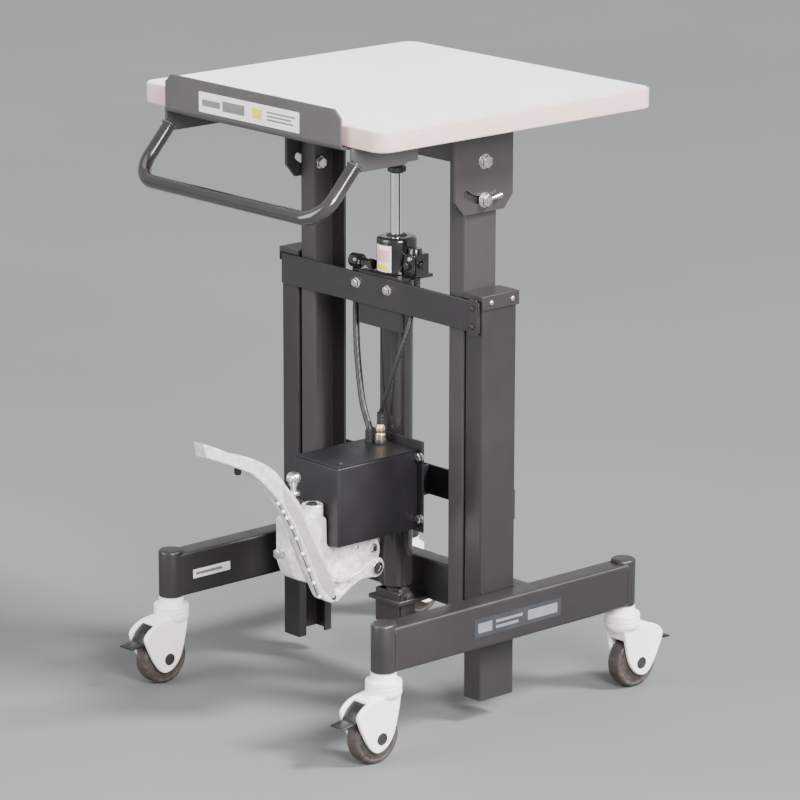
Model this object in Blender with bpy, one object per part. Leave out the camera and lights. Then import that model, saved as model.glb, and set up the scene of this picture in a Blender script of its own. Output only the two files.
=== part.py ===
"""A mobile lift table: a tilting top on two telescoping posts, raised by a foot-pumped hydraulic ram.

Metres, +Z up.  The operator stands at -Y, where the push handle and the foot pedal are.
Everything is placed from the machine's own centre line and from the floor at z = 0; one empty
then shifts the whole machine along Y so that its bounding box is centred on the origin.
"""

import math

import bmesh
import bpy
from mathutils import Matrix, Vector

MM = 0.001
GAP = 0.3 * MM          # between faces that touch in the real machine
SLIDE = 0.7 * MM        # between a guide shoe and its rail
PIN_CLEARANCE = 0.3 * MM  # radial, between a pin and its hole

# --- table top and its brackets
TABLE_W, TABLE_D, TABLE_T = 500 * MM, 500 * MM, 28 * MM
TABLE_TOP_Z = 862.5 * MM
TABLE_CORNER_R, TABLE_EDGE_R = 22 * MM, 2.5 * MM
HANDLE_PLATE_W, HANDLE_PLATE_T, HANDLE_PLATE_RISE = 364 * MM, 3.5 * MM, 22 * MM
HANDLE_PLATE_AHEAD, HANDLE_PLATE_FLANGE = 7.5 * MM, 46 * MM
HANDLE_PLATE_CHAMFER_X, HANDLE_PLATE_CHAMFER_Z = 13 * MM, 11 * MM
GUSSET_T, GUSSET_DEPTH, GUSSET_L, GUSSET_FLANGE = 5 * MM, 33 * MM, 108 * MM, 24 * MM
GUSSET_STEP_L, GUSSET_STEP_H = 19 * MM, 3 * MM
HANDLE_TUBE_R, HANDLE_BEND_R = 9.5 * MM, 38 * MM
HANDLE_LEG_X, HANDLE_REACH, HANDLE_DROP = 192 * MM, 56 * MM, 90.5 * MM
HANDLE_LEG_SLOPE = math.radians(47.5)
LUG_T, LUG_W, LUG_DROP, LUG_FOOT_W, LUG_CHAMFER_H = 5 * MM, 106 * MM, 122.5 * MM, 74 * MM, 19 * MM
LUG_FLANGE = 27 * MM
TILT_DROP = 52.5 * MM   # pivot below the table's underside
TILT_SLOT_R, TILT_SLOT_DEG = 53 * MM, 38
TILT_PIN_R = 5 * MM

# --- posts and frame
OUTER_X, OUTER_W, OUTER_D, OUTER_T, OUTER_LIP = 209 * MM, 34.6 * MM, 63 * MM, 3.5 * MM, 14 * MM
OUTER_Z0, OUTER_Z1 = 32 * MM, 603 * MM
INNER_W, INNER_D, INNER_T = 30 * MM, 59 * MM, 4 * MM
INNER_Z0, INNER_ABOVE_PIVOT = 150 * MM, 30 * MM
POST_SPACE = 4.4 * MM   # between the inner post's web and the outer post's lips
SHOE_Z0, SHOE_L = 155 * MM, 135 * MM
BEAM_H, BEAM_T, BEAM_BELOW_PIVOT = 30 * MM, 4 * MM, 4 * MM
CAP_T, CAP_SIDE, CAP_SKIRT = 2.2 * MM, 17 * MM, 5 * MM
BAR_H, BAR_T, BAR_W = 43.5 * MM, 4 * MM, 410 * MM
FRONT_BAR_Z, REAR_BAR_Z = 553.5 * MM, 280 * MM
BASE_TUBE_D, BASE_TUBE_H, BASE_TUBE_Z = 30 * MM, 60 * MM, 125 * MM
LEG_W, LEG_H, LEG_Z = 35 * MM, 63 * MM, 124 * MM
SOCKET_R, SOCKET_ABOVE_LEG, CASTER_Y = 17.5 * MM, 5 * MM, 225 * MM

# --- hydraulic cylinder
TUBE_R, TUBE_BORE_R, TUBE_Z0, TUBE_END_T = 23 * MM, 18 * MM, 148 * MM, 10 * MM
ROD_R, ROD_TOP_Z, PISTON_Z, PISTON_L = 9.2 * MM, 741 * MM, 262 * MM, 26 * MM
ROD_COLLAR_R, ROD_COLLAR_H, ROD_STUD_R = 13 * MM, 7 * MM, 8 * MM
SADDLE_W, SADDLE_H, SADDLE_T, SADDLE_LIP = 88 * MM, 75.5 * MM, 4 * MM, 7 * MM
HEAD_R, HEAD_H = 28 * MM, 51 * MM
VALVE_BLOCK_L, VALVE_BLOCK_W, VALVE_BLOCK_H = 24 * MM, 30 * MM, 32 * MM
HOSE_PORT_X = 48.5 * MM
FITTING_R, FITTING_KNOB_R, FITTING_L, FITTING_KNOB_L = 7.5 * MM, 10.5 * MM, 46 * MM, 18 * MM
FITTING_AHEAD = 18 * MM
FOOT_SHELF_W, FOOT_SHELF_T, FOOT_SHELF_AHEAD, FOOT_SPIGOT_R = 64 * MM, 6 * MM, 24 * MM, 15 * MM

# --- foot pump
TANK_X, TANK_W, TANK_L, TANK_H, TANK_Z, TANK_EDGE_R = 30 * MM, 92 * MM, 146.5 * MM, 114 * MM, 251 * MM, 3 * MM
BRACKET_T, BRACKET_SIDE, BRACKET_UP, BRACKET_DOWN = 3 * MM, 9 * MM, 12 * MM, 5 * MM
BRACKET_CLEAR = 1.2 * MM  # between the bracket plate and the cylinder tube
RIB_T = 4 * MM
PUMP_X, PUMP_W, PUMP_L = 40 * MM, 30 * MM, 69 * MM
PUMP_RAM_TOP_Z, PUMP_VALVE_TOP_Z, PUMP_BOTTOM_Z = 310 * MM, 300 * MM, 198 * MM
PUMP_RAM_L, PUMP_BORE_R, PUMP_BORE_Z = 31 * MM, 10 * MM, 238 * MM
PLUNGER_Z0, PLUNGER_Z1, PLUNGER_CROWN_R = 264 * MM, 306 * MM, 7 * MM
VALVE_AHEAD = 33 * MM   # release valve, ahead of the ram bore
PEDAL_PIVOT_Y, PEDAL_PIVOT_Z, PEDAL_BOSS_R, PEDAL_PIN_R = -106 * MM, 211 * MM, 14 * MM, 6 * MM
PEDAL_W, PEDAL_REACH = 22 * MM, 304 * MM
BRASS_X, BRASS_Y, BRASS_R, BRASS_H = 17 * MM, -45 * MM, 7.4 * MM, 27 * MM

# --- casters
WHEEL_R, WHEEL_W, WHEEL_EDGE_R = 37.5 * MM, 24 * MM, 5 * MM
CASTER_TRAIL, AXLE_R = 20 * MM, 5 * MM
NECK_R, RING_R, RING_Z0, RING_Z1 = 18 * MM, 25 * MM, 93.5 * MM, 113 * MM
YOKE_HALF_W, YOKE_WALL, YOKE_REACH, YOKE_LOBE_R = 20 * MM, 6 * MM, 43 * MM, 19.5 * MM
WHEEL_CLEAR = 3.2 * MM
BRAKE_W, BRAKE_T, BRAKE_TAB = 26 * MM, 5.5 * MM, 21 * MM

# --- places worked out from the sizes above
TABLE_Z0 = TABLE_TOP_Z - TABLE_T
UNDER_TABLE = TABLE_Z0 - GAP
PIVOT_Z = TABLE_Z0 - TILT_DROP
OUTER_IN_X = OUTER_X - OUTER_W
INNER_X = OUTER_IN_X - POST_SPACE
LUG_X0 = INNER_X + 1.5 * MM
OUTER_HALF_D = OUTER_D / 2
LEG_X0 = OUTER_X + GAP
CASTER_X = LEG_X0 + LEG_W / 2
FRONT_BAR_Y = -(OUTER_HALF_D + GAP + BAR_T)
REAR_FACE_Y = OUTER_HALF_D + GAP
SADDLE_TOP_Z = FRONT_BAR_Z + BAR_H + 3 * MM
HEAD_Z0 = SADDLE_TOP_Z + GAP
TANK_Y1 = -(TUBE_R + BRACKET_CLEAR + BRACKET_T + GAP)
TANK_Y0 = TANK_Y1 - TANK_L
TANK_TOP_Z = TANK_Z + TANK_H
PUMP_Y1 = TANK_Y0 - GAP
RAM_Y = PUMP_Y1 - PUMP_RAM_L / 2
PEDAL_X0 = PUMP_X + PUMP_W / 2 + 0.6 * MM
PEDAL_X1 = PEDAL_X0 + PEDAL_W
HANDLE_Y = -(TABLE_D / 2 + HANDLE_REACH)
HANDLE_Z = TABLE_Z0 - HANDLE_DROP
BRAKE_REACH = CASTER_TRAIL + YOKE_REACH + BRAKE_TAB
FRAME_Y_MIN = PEDAL_PIVOT_Y - PEDAL_REACH
FRAME_Y_MAX = CASTER_Y + BRAKE_REACH
CENTRE_SHIFT_Y = -(FRAME_Y_MIN + FRAME_Y_MAX) / 2

COLOURS = {  # base colour (linear), roughness, metallic
    "charcoal_paint": ((0.130, 0.122, 0.128), 0.42, 0.0),
    "black_tube_paint": ((0.035, 0.032, 0.034), 0.20, 0.0),
    "tank_paint": ((0.048, 0.046, 0.054), 0.38, 0.0),
    "gloss_black_paint": ((0.020, 0.019, 0.020), 0.18, 0.0),
    "laminate": ((0.88, 0.87, 0.87), 0.35, 0.0),
    "black_plastic": ((0.022, 0.021, 0.022), 0.40, 0.0),
    "guide_nylon": ((0.70, 0.68, 0.62), 0.45, 0.0),
    "chrome": ((0.85, 0.85, 0.85), 0.06, 1.0),
    "zinc": ((0.75, 0.75, 0.74), 0.28, 1.0),
    "cast_aluminium": ((0.72, 0.70, 0.70), 0.42, 1.0),
    "brass": ((0.80, 0.58, 0.27), 0.25, 1.0),
    "hose_rubber": ((0.018, 0.018, 0.019), 0.50, 0.0),
    "caster_nylon": ((0.82, 0.78, 0.79), 0.38, 0.0),
    "tyre_grey": ((0.14, 0.12, 0.115), 0.60, 0.0),
}


def clear_scene():
    for obj in list(bpy.data.objects):
        bpy.data.objects.remove(obj, do_unlink=True)


def new_material(name):
    colour, roughness, metallic = COLOURS[name]
    material = bpy.data.materials.new(name)
    material.use_nodes = True
    shader = material.node_tree.nodes["Principled BSDF"]
    shader.inputs["Base Color"].default_value = (*colour, 1.0)
    shader.inputs["Roughness"].default_value = roughness
    shader.inputs["Metallic"].default_value = metallic
    material.diffuse_color = (*colour, 1.0)
    return material


def new_empty(name, location, parent=None, turn=0.0):
    empty = bpy.data.objects.new(name, None)
    empty.empty_display_size = 20 * MM
    empty.location = location
    empty.rotation_euler.z = turn
    empty.parent = parent
    bpy.context.collection.objects.link(empty)
    return empty


def world_offset(empty):
    """Where an empty sits in machine coordinates (before the shift along Y)."""
    place = Vector((0, 0, 0))
    while empty is not None and empty.name != "machine":
        place = place + empty.location
        empty = empty.parent
    return place


# ---------------------------------------------------------------- bmesh shapes

def box(bm, low, high):
    low, high = Vector(low), Vector(high)
    size = high - low
    matrix = Matrix.Translation((low + high) / 2) @ Matrix.Diagonal((*size, 1.0))
    bmesh.ops.create_cube(bm, size=1.0, matrix=matrix)


def axis_matrix(axis):
    """Turns a shape built along +Z so that it runs along the named axis."""
    if axis == "X":
        return Matrix.Rotation(math.pi / 2, 4, "Y")
    if axis == "Y":
        return Matrix.Rotation(-math.pi / 2, 4, "X")
    return Matrix.Identity(4)


def cylinder(bm, centre, radius, length, axis="Z", segments=24):
    matrix = Matrix.Translation(centre) @ axis_matrix(axis)
    bmesh.ops.create_cone(bm, cap_ends=True, segments=segments, radius1=radius, radius2=radius,
                          depth=length, matrix=matrix)


def lathe(bm, profile, centre=(0, 0, 0), axis="Z", segments=24):
    """A closed profile of (radius, height) points, spun about its height axis.  Points at
    radius 0 close the ends; a profile that never reaches 0 makes a ring."""
    rings = []
    turn = Matrix.Translation(centre) @ axis_matrix(axis)
    for radius, height in profile:
        if radius == 0:
            rings.append([bm.verts.new(turn @ Vector((0, 0, height)))])
            continue
        rings.append([bm.verts.new(turn @ Vector((radius * math.cos(a), radius * math.sin(a), height)))
                      for a in (2 * math.pi * i / segments for i in range(segments))])
    pairs = list(zip(rings, rings[1:]))
    if profile[0][0] > 0:
        pairs.append((rings[-1], rings[0]))
    for first, second in pairs:
        for i in range(segments):
            j = (i + 1) % segments
            corners = [first[i % len(first)], first[j % len(first)],
                       second[j % len(second)], second[i % len(second)]]
            bm.faces.new(list(dict.fromkeys(corners)))


def prism(bm, outline, low, high, axis="X"):
    """Extrudes an outline.  Along X its points are (y, z), along Y (x, z), along Z (x, y)."""
    place = {"X": lambda p, h: (h, p[0], p[1]),
             "Y": lambda p, h: (p[0], h, p[1]),
             "Z": lambda p, h: (p[0], p[1], h)}[axis]
    bottom = bm.faces.new([bm.verts.new(place(p, low)) for p in outline])
    top = bmesh.ops.extrude_face_region(bm, geom=[bottom])
    moved = [v for v in top["geom"] if isinstance(v, bmesh.types.BMVert)]
    shift = Vector(place((0, 0), high)) - Vector(place((0, 0), low))
    bmesh.ops.translate(bm, verts=moved, vec=shift)


def arc(centre, radius, start_deg, end_deg, steps):
    return [(centre[0] + radius * math.cos(a), centre[1] + radius * math.sin(a))
            for a in (math.radians(start_deg + (end_deg - start_deg) * i / steps)
                      for i in range(steps + 1))]


def rounded(points, radius, steps=3):
    """The same outline with its outer corners rounded, as far as their sides allow."""
    result = []
    count = len(points)
    corners = [Vector(p) for p in points]
    turn = sum(corners[i - 1].cross(corners[i]) for i in range(count))
    for i, here in enumerate(corners):
        before = corners[i - 1] - here
        after = corners[(i + 1) % count] - here
        if after.cross(before) * turn < 0:
            result.append(tuple(here))
            continue
        half_angle = before.angle(after) / 2
        reach = min(radius / math.tan(half_angle), 0.45 * before.length, 0.45 * after.length)
        start, end = here + before.normalized() * reach, here + after.normalized() * reach
        for k in range(steps + 1):
            t = k / steps
            result.append(tuple(start * (1 - t) ** 2 + here * 2 * t * (1 - t) + end * t ** 2))
    return result


def channel(x_open, x_web, half_y, wall, lip=0.0):
    """A C section in X and Y, its mouth at x_open and its web's outer face at x_web."""
    inward = -1 if x_web > x_open else 1
    web_in = x_web + inward * wall
    outer = [(x_open, -half_y), (x_web, -half_y), (x_web, half_y), (x_open, half_y)]
    if lip:
        lip_in, lip_y = x_open - inward * wall, half_y - lip
        return outer + [(x_open, lip_y), (lip_in, lip_y), (lip_in, half_y - wall),
                        (web_in, half_y - wall), (web_in, -half_y + wall),
                        (lip_in, -half_y + wall), (lip_in, -lip_y), (x_open, -lip_y)]
    return outer + [(x_open, half_y - wall), (web_in, half_y - wall),
                    (web_in, -half_y + wall), (x_open, -half_y + wall)]


# ---------------------------------------------------------------- objects

def finish(bm, name, material, parent, smooth_deg=35):
    """Turns a bmesh drawn in machine coordinates into an object under its body's empty."""
    bmesh.ops.remove_doubles(bm, verts=bm.verts[:], dist=0.001 * MM)
    bmesh.ops.recalc_face_normals(bm, faces=bm.faces[:])
    bmesh.ops.translate(bm, verts=bm.verts[:], vec=-world_offset(parent))
    mesh = bpy.data.meshes.new(name)
    bm.to_mesh(mesh)
    bm.free()
    mesh.shade_smooth()
    mesh.set_sharp_from_angle(angle=math.radians(smooth_deg))
    mesh.materials.append(material)
    obj = bpy.data.objects.new(name, mesh)
    obj.parent = parent
    bpy.context.collection.objects.link(obj)
    return obj


def tool(bm, name, parent):
    """A hidden object for a Boolean: it cuts or joins, and isn't a node of its own."""
    obj = finish(bm, name, TOOL_MATERIAL, parent)
    obj.hide_render = True
    obj.display_type = "WIRE"
    return obj


def boolean(obj, other, operation):
    modifier = obj.modifiers.new(operation.title(), "BOOLEAN")
    modifier.operation = operation
    modifier.object = other
    modifier.solver = "EXACT"


def bevel(obj, width, segments=2):
    modifier = obj.modifiers.new("Bevel", "BEVEL")
    modifier.width = width
    modifier.segments = segments
    modifier.limit_method = "ANGLE"
    modifier.angle_limit = math.radians(40)


def boxes_joined(name, spans, material, parent):
    """One solid from boxes that run into each other."""
    bm = bmesh.new()
    box(bm, *spans[0])
    obj = finish(bm, name, material, parent)
    for i, span in enumerate(spans[1:]):
        extra = bmesh.new()
        box(extra, *span)
        boolean(obj, tool(extra, f"{name}_join_{i}", parent), "UNION")
    return obj


def curve_tube(name, points, radius, material, parent, resolution=3):
    """A closed tube along a polyline."""
    curve = bpy.data.curves.new(name, "CURVE")
    curve.dimensions = "3D"
    curve.bevel_depth = radius
    curve.bevel_resolution = resolution
    curve.use_fill_caps = True
    spline = curve.splines.new("POLY")
    spline.points.add(len(points) - 1)
    offset = world_offset(parent)
    for point, place in zip(spline.points, points):
        point.co = (*(Vector(place) - offset), 1.0)
    spline.use_smooth = True
    curve.materials.append(material)
    obj = bpy.data.objects.new(name, curve)
    obj.parent = parent
    bpy.context.collection.objects.link(obj)
    return obj


def smooth_route(points, count):
    """A Catmull-Rom curve through a short route whose first and last stretches stay straight."""
    knots = [Vector(p) for p in points]
    spans = len(knots) - 3
    route = [knots[0]]
    for i in range(count):
        u = i / (count - 1) * spans
        k = min(int(u), spans - 1)
        t = u - k
        a, b, c, d = knots[k:k + 4]
        route.append(0.5 * ((2 * b) + (c - a) * t + (2 * a - 5 * b + 4 * c - d) * t * t
                            + (3 * b - a - 3 * c + d) * t ** 3))
    return [*route, knots[-1]]


# ---------------------------------------------------------------- table body

def table_top(materials, body):
    half_w, half_d = TABLE_W / 2, TABLE_D / 2
    inner_w, inner_d = half_w - TABLE_CORNER_R, half_d - TABLE_CORNER_R
    outline = []
    for sx, sy, start in ((1, 1, 0), (-1, 1, 90), (-1, -1, 180), (1, -1, 270)):
        outline += arc((sx * inner_w, sy * inner_d), TABLE_CORNER_R, start, start + 90, 6)
    bm = bmesh.new()
    prism(bm, outline, TABLE_Z0, TABLE_TOP_Z, "Z")
    bevel(finish(bm, "table_top", materials["laminate"], body), TABLE_EDGE_R)


def handle_plate(materials, body):
    """A sheet folded to an L: it lies under the table's front edge and stands up before it."""
    front = -(TABLE_D / 2 + HANDLE_PLATE_AHEAD + HANDLE_PLATE_T)
    top, low = TABLE_TOP_Z + HANDLE_PLATE_RISE, UNDER_TABLE - HANDLE_PLATE_T
    back = front + HANDLE_PLATE_FLANGE
    bend = 2 * HANDLE_PLATE_T
    outline = [(front, top), *arc((front + bend, low + bend), bend, 180, 270, 4), (back, low),
               (back, UNDER_TABLE),
               *arc((front + bend, low + bend), bend - HANDLE_PLATE_T, 270, 180, 4),
               (front + HANDLE_PLATE_T, top)]
    bm = bmesh.new()
    half = HANDLE_PLATE_W / 2
    prism(bm, outline, -half, half, "X")
    plate = finish(bm, "handle_plate", materials["charcoal_paint"], body)
    cut = bmesh.new()
    for side in (-1, 1):
        corner = [(side * (half + MM), top + MM), (side * (half + MM), top - HANDLE_PLATE_CHAMFER_Z),
                  (side * half, top - HANDLE_PLATE_CHAMFER_Z), (side * (half - HANDLE_PLATE_CHAMFER_X), top),
                  (side * (half - HANDLE_PLATE_CHAMFER_X), top + MM)]
        prism(cut, corner, front - MM, front + 2 * HANDLE_PLATE_T, "Y")
    boolean(plate, tool(cut, "handle_plate_corners", body), "DIFFERENCE")


def handle_leg_top():
    """Where the centre line of the handle's leg ends, as (y, z)."""
    top_z = UNDER_TABLE - GUSSET_DEPTH / 2 - 6 * MM
    return HANDLE_Y + (top_z - HANDLE_Z) / math.tan(HANDLE_LEG_SLOPE), top_z


def handle(materials, body):
    top_y, top_z = handle_leg_top()
    up = Vector((0, math.cos(HANDLE_LEG_SLOPE), math.sin(HANDLE_LEG_SLOPE)))
    points = [Vector((-HANDLE_LEG_X, top_y, top_z))]
    for side in (-1, 1):
        corner = Vector((side * HANDLE_LEG_X, HANDLE_Y, HANDLE_Z))
        inward = Vector((-side, 0, 0))
        centre = corner + (inward + up) * HANDLE_BEND_R
        bend = [centre - inward * HANDLE_BEND_R * math.cos(a) - up * HANDLE_BEND_R * math.sin(a)
                for a in (math.radians(90 * i / 8) for i in range(9))]
        points += bend if side < 0 else bend[::-1]
    points.append(Vector((HANDLE_LEG_X, top_y, top_z)))
    curve_tube("handle", points, HANDLE_TUBE_R, materials["black_tube_paint"], body)


def gusset(materials, body, side):
    """The plate under the table that the handle's leg is welded to, with its screwed flange."""
    leg_y, leg_z = handle_leg_top()
    along = Vector((math.cos(HANDLE_LEG_SLOPE), math.sin(HANDLE_LEG_SLOPE)))
    across = Vector((-along.y, along.x))
    end = Vector((leg_y, leg_z)) + along * GAP
    upper, lower = end + across * 11 * MM, end - across * 11 * MM
    bottom = UNDER_TABLE - GUSSET_DEPTH
    back = leg_y + GUSSET_L
    outline = [(upper.x, UNDER_TABLE), tuple(upper), tuple(lower), (lower.x + MM, bottom),
               (back - GUSSET_STEP_L - 2 * MM, bottom), (back - GUSSET_STEP_L, bottom + GUSSET_STEP_H),
               (back, bottom + GUSSET_STEP_H), (back, UNDER_TABLE)]
    x0, x1 = HANDLE_LEG_X - GUSSET_T / 2, HANDLE_LEG_X + GUSSET_T / 2
    name = f"gusset_{'right' if side > 0 else 'left'}"
    bm = bmesh.new()
    prism(bm, outline, side * x0, side * x1, "X")
    plate = finish(bm, name, materials["charcoal_paint"], body)
    clear_plate = -(TABLE_D / 2 + HANDLE_PLATE_AHEAD + HANDLE_PLATE_T) + HANDLE_PLATE_FLANGE + GAP
    flange = bmesh.new()
    low = (min(side * (x0 - GUSSET_FLANGE), side * (x0 + MM)), clear_plate, UNDER_TABLE - GUSSET_T)
    high = (max(side * (x0 - GUSSET_FLANGE), side * (x0 + MM)), back, UNDER_TABLE)
    box(flange, low, high)
    boolean(plate, tool(flange, f"{name}_flange", body), "UNION")


def lug(materials, body, side):
    """The bracket that carries the table on its pivot, with the curved slot for the clamp bolt."""
    half, foot = LUG_W / 2, LUG_FOOT_W / 2
    bottom = TABLE_Z0 - LUG_DROP
    outline = [(-half, UNDER_TABLE), (-half, bottom + LUG_CHAMFER_H), (-foot, bottom),
               (foot, bottom), (half, bottom + LUG_CHAMFER_H), (half, UNDER_TABLE)]
    name = f"lug_{'right' if side > 0 else 'left'}"
    x0, x1 = LUG_X0, LUG_X0 + LUG_T
    bm = bmesh.new()
    prism(bm, outline, side * x0, side * x1, "X")
    plate = finish(bm, name, materials["charcoal_paint"], body)
    flange = bmesh.new()
    spans = sorted((side * (x1 - LUG_FLANGE), side * (x1 - MM)))
    box(flange, (spans[0], -half, UNDER_TABLE - LUG_T), (spans[1], half, UNDER_TABLE))
    boolean(plate, tool(flange, f"{name}_flange", body), "UNION")
    hole_r = TILT_PIN_R + PIN_CLEARANCE
    cut = bmesh.new()
    cylinder(cut, (side * (x0 + x1) / 2, 0, PIVOT_Z), hole_r, LUG_T + 4 * MM, "X")
    pivot = (0, PIVOT_Z)
    first, last = -90, -90 - TILT_SLOT_DEG
    far = (TILT_SLOT_R * math.cos(math.radians(last)), PIVOT_Z + TILT_SLOT_R * math.sin(math.radians(last)))
    slot = [*arc(pivot, TILT_SLOT_R + hole_r, first, last, 10),
            *arc(far, hole_r, last, last - 180, 6)[1:-1],
            *arc(pivot, TILT_SLOT_R - hole_r, last, first, 10),
            *arc((0, PIVOT_Z - TILT_SLOT_R), hole_r, 90, -90, 6)[1:-1]]
    prism(cut, slot, side * (x0 - 2 * MM), side * (x1 + 2 * MM), "X")
    boolean(plate, tool(cut, f"{name}_holes", body), "DIFFERENCE")


# ---------------------------------------------------------------- lifting body

def inner_post(materials, body, side):
    name = f"inner_post_{'right' if side > 0 else 'left'}"
    section = channel(side * (INNER_X - INNER_W), side * INNER_X, INNER_D / 2, INNER_T)
    bm = bmesh.new()
    prism(bm, rounded(section, 2.2 * MM, 1), INNER_Z0, PIVOT_Z + INNER_ABOVE_PIVOT, "Z")
    post = finish(bm, name, materials["charcoal_paint"], body)
    cut = bmesh.new()
    for z in (PIVOT_Z, PIVOT_Z - TILT_SLOT_R):
        cylinder(cut, (side * (INNER_X - INNER_T / 2), 0, z), TILT_PIN_R + PIN_CLEARANCE,
                 INNER_T + 4 * MM, "X", 16)
    boolean(post, tool(cut, f"{name}_holes", body), "DIFFERENCE")


def guide_shoe(materials, body, side):
    """A T-shaped nylon shoe: its neck passes between the outer post's lips, its head rides inside."""
    neck = OUTER_HALF_D - OUTER_LIP - SLIDE
    head = OUTER_HALF_D - OUTER_T - SLIDE
    x0, x1 = INNER_X + GAP, OUTER_IN_X + OUTER_T + SLIDE
    x2 = OUTER_X - OUTER_T - SLIDE
    outline = [(side * x0, -neck), (side * x1, -neck), (side * x1, -head), (side * x2, -head),
               (side * x2, head), (side * x1, head), (side * x1, neck), (side * x0, neck)]
    bm = bmesh.new()
    prism(bm, outline, SHOE_Z0, SHOE_Z0 + SHOE_L, "Z")
    finish(bm, f"guide_shoe_{'right' if side > 0 else 'left'}", materials["guide_nylon"], body)


def lift_beam(materials, body):
    """A channel, open below, that ties the inner posts together over the ram."""
    half_y = INNER_D / 2 - INNER_T - GAP
    low = PIVOT_Z - BEAM_BELOW_PIVOT
    top = low + BEAM_H
    half_x = INNER_X - INNER_T - GAP
    outline = [(-half_y, low), (-half_y, top), (half_y, top), (half_y, low),
               (half_y - BEAM_T, low), (half_y - BEAM_T, top - BEAM_T),
               (-half_y + BEAM_T, top - BEAM_T), (-half_y + BEAM_T, low)]
    bm = bmesh.new()
    prism(bm, outline, -half_x, half_x, "X")
    finish(bm, "lift_beam", materials["charcoal_paint"], body)


def ram_rod(materials, body):
    piston_r = TUBE_BORE_R - GAP
    profile = [(0, PISTON_Z), (piston_r, PISTON_Z), (piston_r, PISTON_Z + PISTON_L),
               (ROD_R, PISTON_Z + PISTON_L), (ROD_R, ROD_TOP_Z - MM), (ROD_R - MM, ROD_TOP_Z),
               (0, ROD_TOP_Z)]
    bm = bmesh.new()
    lathe(bm, profile)
    finish(bm, "ram_rod", materials["chrome"], body)
    collar = ROD_TOP_Z + GAP
    beam_inside = PIVOT_Z - BEAM_BELOW_PIVOT + BEAM_H - BEAM_T - GAP
    bm = bmesh.new()
    lathe(bm, [(0, collar), (ROD_COLLAR_R, collar), (ROD_COLLAR_R, collar + ROD_COLLAR_H),
               (ROD_STUD_R, collar + ROD_COLLAR_H), (ROD_STUD_R, beam_inside), (0, beam_inside)])
    finish(bm, "ram_rod_end", materials["charcoal_paint"], body)


def tilt_bolt(materials, body, side, z, name, head_r, head_t):
    """A bolt through the lug and the inner post's web, headed outside and nutted inside."""
    outside = LUG_X0 + LUG_T + GAP
    inside = INNER_X - INNER_T - GAP
    profile = [(0, outside + head_t), (head_r * 0.8, outside + head_t), (head_r, outside + head_t - 1.5 * MM),
               (head_r, outside), (TILT_PIN_R, outside), (TILT_PIN_R, inside),
               (head_r * 0.9, inside), (head_r * 0.9, inside - 6 * MM), (TILT_PIN_R, inside - 6 * MM),
               (TILT_PIN_R, inside - 10 * MM), (0, inside - 10 * MM)]
    bm = bmesh.new()
    lathe(bm, [(r, side * h) for r, h in profile], (0, 0, z), "X", 18)
    finish(bm, f"{name}_{'right' if side > 0 else 'left'}", materials["zinc"], body)


# ---------------------------------------------------------------- fixed frame

def outer_post(materials, body, side):
    section = channel(side * OUTER_IN_X, side * OUTER_X, OUTER_HALF_D, OUTER_T, OUTER_LIP)
    bm = bmesh.new()
    prism(bm, rounded(section, 2 * MM, 1), OUTER_Z0, OUTER_Z1, "Z")
    finish(bm, f"outer_post_{'right' if side > 0 else 'left'}", materials["charcoal_paint"], body)


def post_cap(materials, body, side):
    """The moulded cap on an outer post, with a deep skirt on the outside only."""
    x_in, x_out = INNER_X + 2 * MM, OUTER_X + GAP + CAP_T
    half_y = OUTER_HALF_D + GAP + CAP_T
    roof = OUTER_Z1 + GAP
    top = roof + CAP_T
    name = f"post_cap_{'right' if side > 0 else 'left'}"
    spans = sorted((side * x_in, side * x_out))
    bm = bmesh.new()
    box(bm, (spans[0], -half_y, OUTER_Z1 - CAP_SIDE), (spans[1], half_y, top))
    cap = finish(bm, name, materials["black_plastic"], body)
    wall = OUTER_X + GAP
    cut = bmesh.new()
    spans = sorted((side * (x_in - 5 * MM), side * wall))
    box(cut, (spans[0], -half_y - MM, OUTER_Z1 - CAP_SIDE - MM), (spans[1], half_y + MM, OUTER_Z1 - CAP_SKIRT))
    boolean(cap, tool(cut, f"{name}_below", body), "DIFFERENCE")
    hollow = bmesh.new()
    half_in = OUTER_HALF_D + GAP
    box(hollow, (spans[0], -half_in, OUTER_Z1 - CAP_SKIRT - 3 * MM), (spans[1], half_in, roof))
    boolean(cap, tool(hollow, f"{name}_hollow", body), "DIFFERENCE")


def flat_bar(materials, body, name, y_low, z_low):
    bm = bmesh.new()
    box(bm, (-BAR_W / 2, y_low, z_low), (BAR_W / 2, y_low + BAR_T, z_low + BAR_H))
    finish(bm, name, materials["charcoal_paint"], body)


def base_tube(materials, body):
    y0 = REAR_FACE_Y
    outline = rounded([(y0, BASE_TUBE_Z), (y0 + BASE_TUBE_D, BASE_TUBE_Z),
                       (y0 + BASE_TUBE_D, BASE_TUBE_Z + BASE_TUBE_H), (y0, BASE_TUBE_Z + BASE_TUBE_H)], 4 * MM)
    bm = bmesh.new()
    prism(bm, outline, -OUTER_X, OUTER_X, "X")
    finish(bm, "base_tube", materials["charcoal_paint"], body)


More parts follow.
